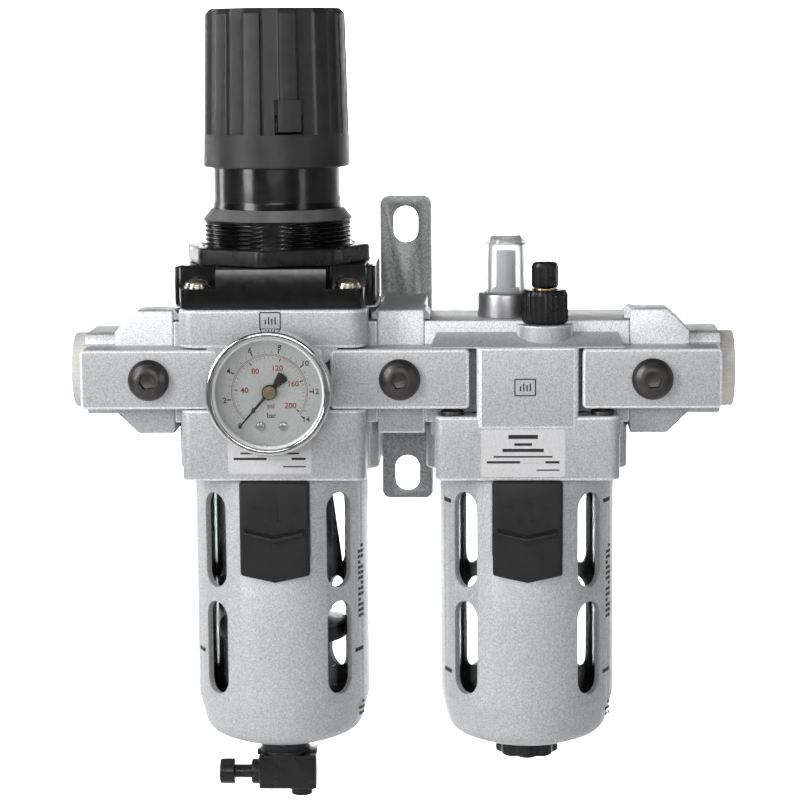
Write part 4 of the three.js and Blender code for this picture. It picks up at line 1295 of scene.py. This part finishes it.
def baffle():
    profile = [(0, -95.8), (22.3, -95.8), (22.8, -95.2, 0.3), (22.8, -90.6, 0.6), (13, -88.6, 2),
               (16.5, -84.3, 0.4), (2.4, -84.3), (2.4, -13.8), (0, -13.8)]
    return revolve("baffle_moulding", rounded(profile, 0.2), 96)


def pleated(angle, radius, height):
    return radius - (0.5 + 0.5 * math.cos(36 * angle)) * 0.5 if radius > 14.5 else radius


def filter_element():
    low, high = extent("filter_element")
    profile = [(10.5, low.z), (15, low.z, 0.3), (15, high.z, 0.3), (10.5, high.z)]
    return revolve("filter_cartridge", loop(profile, 0.2), 216, pleated)


def coil(name, radius, wire, turns, z0, z1, around_wire=10, per_turn=28):
    """A wound spring between two heights."""
    steps = int(turns * per_turn)
    rise = (z1 - z0 - 2 * wire) / steps
    rings = []
    for k in range(steps + 1):
        angle = TAU * k / per_turn
        ring = []
        for i in range(around_wire):
            tilt = TAU * i / around_wire
            out = radius + wire * math.cos(tilt)
            height = z0 + wire + rise * k + wire * math.sin(tilt)
            ring.append((out * math.cos(angle), out * math.sin(angle), height))
        rings.append(ring)
    return loft(name, rings)


def spring(node, radius, wire, turns):
    """Stands for a CAD spring, as a wound coil with a mesh of its own."""
    low, high = extent(node)
    wound = on_unit(coil(f"{node}_coil", radius, wire, turns, low.z, high.z), REG_X)
    show(wound, SPRING_STEEL, node)
    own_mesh(wound)


spring("main_spring", 11.4, 1.3, 5)
spring("valve_spring", 4.4, 0.45, 4)
show(on_unit(shroud(), REG_X), SATIN_BLACK, "louver")
show(on_unit(filter_element(), REG_X), FILTER_WHITE, "filter_element")
show(on_unit(baffle(), REG_X), SATIN_BLACK, "baffle")
KEPT = {
    "adjusting_screw": SPRING_STEEL, "spring_seat": BRASS, "diaphragm": RUBBER,
    "valve_poppet": BRASS, "flow_vane": RUBBER, "siphon_tube": SIGHT_WHITE,
    "reg_bowl_seal": RUBBER, "lub_bowl_seal": RUBBER, "joint_seal_reg_in": RUBBER,
    "joint_seal_reg_out": RUBBER, "joint_seal_lub_in": RUBBER, "joint_seal_lub_out": RUBBER,
}
for name, material in KEPT.items():
    kept = frame["nodes"][name]
    kept.data.materials.clear()
    kept.data.materials.append(material)
    smooth(kept, 40)


# ---- labels ----
LABEL_THICK = 0.06


def label(name, x, z, width, height, front):
    plate = to_front(slab(name, width, height, 1.2, -front, -front + LABEL_THICK, steps=4))
    show(move(plate, x, 0, z), LABEL, body="base")


def printed_bars(name, bars, x, z, front, relief):
    """Plain bars in place of lettering: each is (left, right, lower edge, upper edge)."""
    strips = [block("bar", *bar, -front - relief, -front + relief) for bar in bars]
    show(move(to_front(merge(name, strips)), x, 0, z), INK, body="base")


def line(left, right, height, thick):
    return left, right, height - thick / 2, height + thick / 2


def rating_label(prefix, x, z, front):
    """A label with rows of plain bars."""
    label(f"{prefix}_label", x, z, 28.5, 16.4, front)
    rows = [(-5, 5, 5.6, 1.4), (-3, 3, 3.0, 0.9), (-7, 7, 1.0, 1.1), (-10, 10, -1.2, 0.55),
            (-12.3, -1, -3.1, 0.8), (7.5, 12.3, -3.1, 0.8), (4.5, 12.3, -5.8, 0.45)]
    rows += [(-0.2 + 0.75 * k, 0.1 + 0.75 * k, -3.4, 0.14) for k in range(10)]
    bars = [line(*row) for row in rows]
    printed_bars(f"{prefix}_label_print", bars, x, z, front - LABEL_THICK, 0.03)


def framed_mark(name, x, z, front):
    """A small frame with four plain strokes inside, printed on the casting."""
    half_w, half_h, thick = 3.45, 2.8, 0.4
    bars = [line(-half_w, half_w, side * half_h, thick) for side in (-1, 1)]
    bars += [(side * half_w - thick / 2, side * half_w + thick / 2, -half_h, half_h) for side in (-1, 1)]
    strokes = ((-1.8, 0.4), (-0.7, 1.3), (0.4, 0.8), (1.5, 1.3))
    bars += [(left, left + 0.45, -1.3, top) for left, top in strokes]
    printed_bars(name, bars, x, z, front, 0.05)


FRONT_FACE = AXIS_Y - 32  # front of the castings
rating_label("reg", REG_X - 1.3, -24.9, FRONT_FACE + 0.8)
rating_label("lub", LUB_X - 1.5, -26.2, FRONT_FACE + 0.8)
framed_mark("reg_mark", REG_X - 0.4, 19.3, FRONT_FACE)
framed_mark("lub_mark", LUB_X - 0.8, -3.6, FRONT_FACE)


# ---- floor, light and camera ----
def dish():
    """A wide pale floor whose rim curves up behind the light."""
    profile = [(0, -450), (2600, -450), (3400, -330), (3900, 100), (4000, 900), (4010, 900), (3910, 95),
               (3405, -340), (2600, -460), (0, -460)]
    floor = revolve("floor", profile, 96)
    smooth(floor, 60)
    shader = Shader("floor_white", "white_plastic", grey(0.92), 0.9)
    shader.vary_color(shader.noise(400.0), grey(0.91), grey(0.93))
    floor.data.materials.append(shader.material)


def lamp(name, place, size, power, aim=(0, -40, 0), spread=180):
    data = bpy.data.lights.new(name, "AREA")
    data.shape = "RECTANGLE"
    data.size, data.size_y = size[0] * MM, size[1] * MM
    data.energy = power
    data.spread = math.radians(spread)
    light = bpy.data.objects.new(name, data)
    light.location = Vector(place) * MM
    light.rotation_euler = (Vector(aim) - Vector(place)).to_track_quat("-Z", "Y").to_euler()
    bpy.context.scene.collection.objects.link(light)


def studio():
    """A white room: dim all round, with soft lamps on the object and bright ones on the backdrop."""
    world = bpy.data.worlds.new("studio")
    world.use_nodes = True
    sky = world.node_tree.nodes["Background"].inputs
    sky["Color"].default_value = (1, 1, 1, 1)
    sky["Strength"].default_value = 0.06
    bpy.context.scene.world = world
    bpy.context.scene.view_settings.view_transform = "Standard"
    lamp("key_left", (-900, -800, 450), (350, 900), 11.5)
    lamp("fill_right", (1000, -900, 300), (250, 900), 1.6)
    lamp("top", (0, -450, 1000), (1100, 300), 0.8)
    lamp("front", (0, -1500, 350), (700, 300), 5.5)
    for side in (-1, 1):
        aim = (side * 500, 3300, -300)
        lamp(f"backdrop_{side + 2}", (side * 500, 1200, 1400), (900, 600), 85, aim, 100)
    lamp("edge_left", (-1000, 380, 350), (250, 800), 3.5)
    lamp("near_floor", (0, 1350, 900), (1200, 500), 26, (0, 1350, -450), 90)


def camera():
    """The photograph's viewpoint, fitted to it."""
    data = bpy.data.cameras.new("camera")
    data.sensor_width = 36
    data.lens = 112.1
    data.clip_end = 20
    eye = bpy.data.objects.new("camera", data)
    eye.location = (0.0328, -0.9045, 0.1126)
    turns = (("Z", 2.25), ("X", 90 - 8.22), ("Z", -0.46))  # yaw, pitch, roll in degrees
    yaw, pitch, roll = (Matrix.Rotation(math.radians(degrees), 4, axis) for axis, degrees in turns)
    eye.rotation_euler = (yaw @ pitch @ roll).to_euler()
    bpy.context.scene.collection.objects.link(eye)
    bpy.context.scene.camera = eye


dish()
studio()
camera()
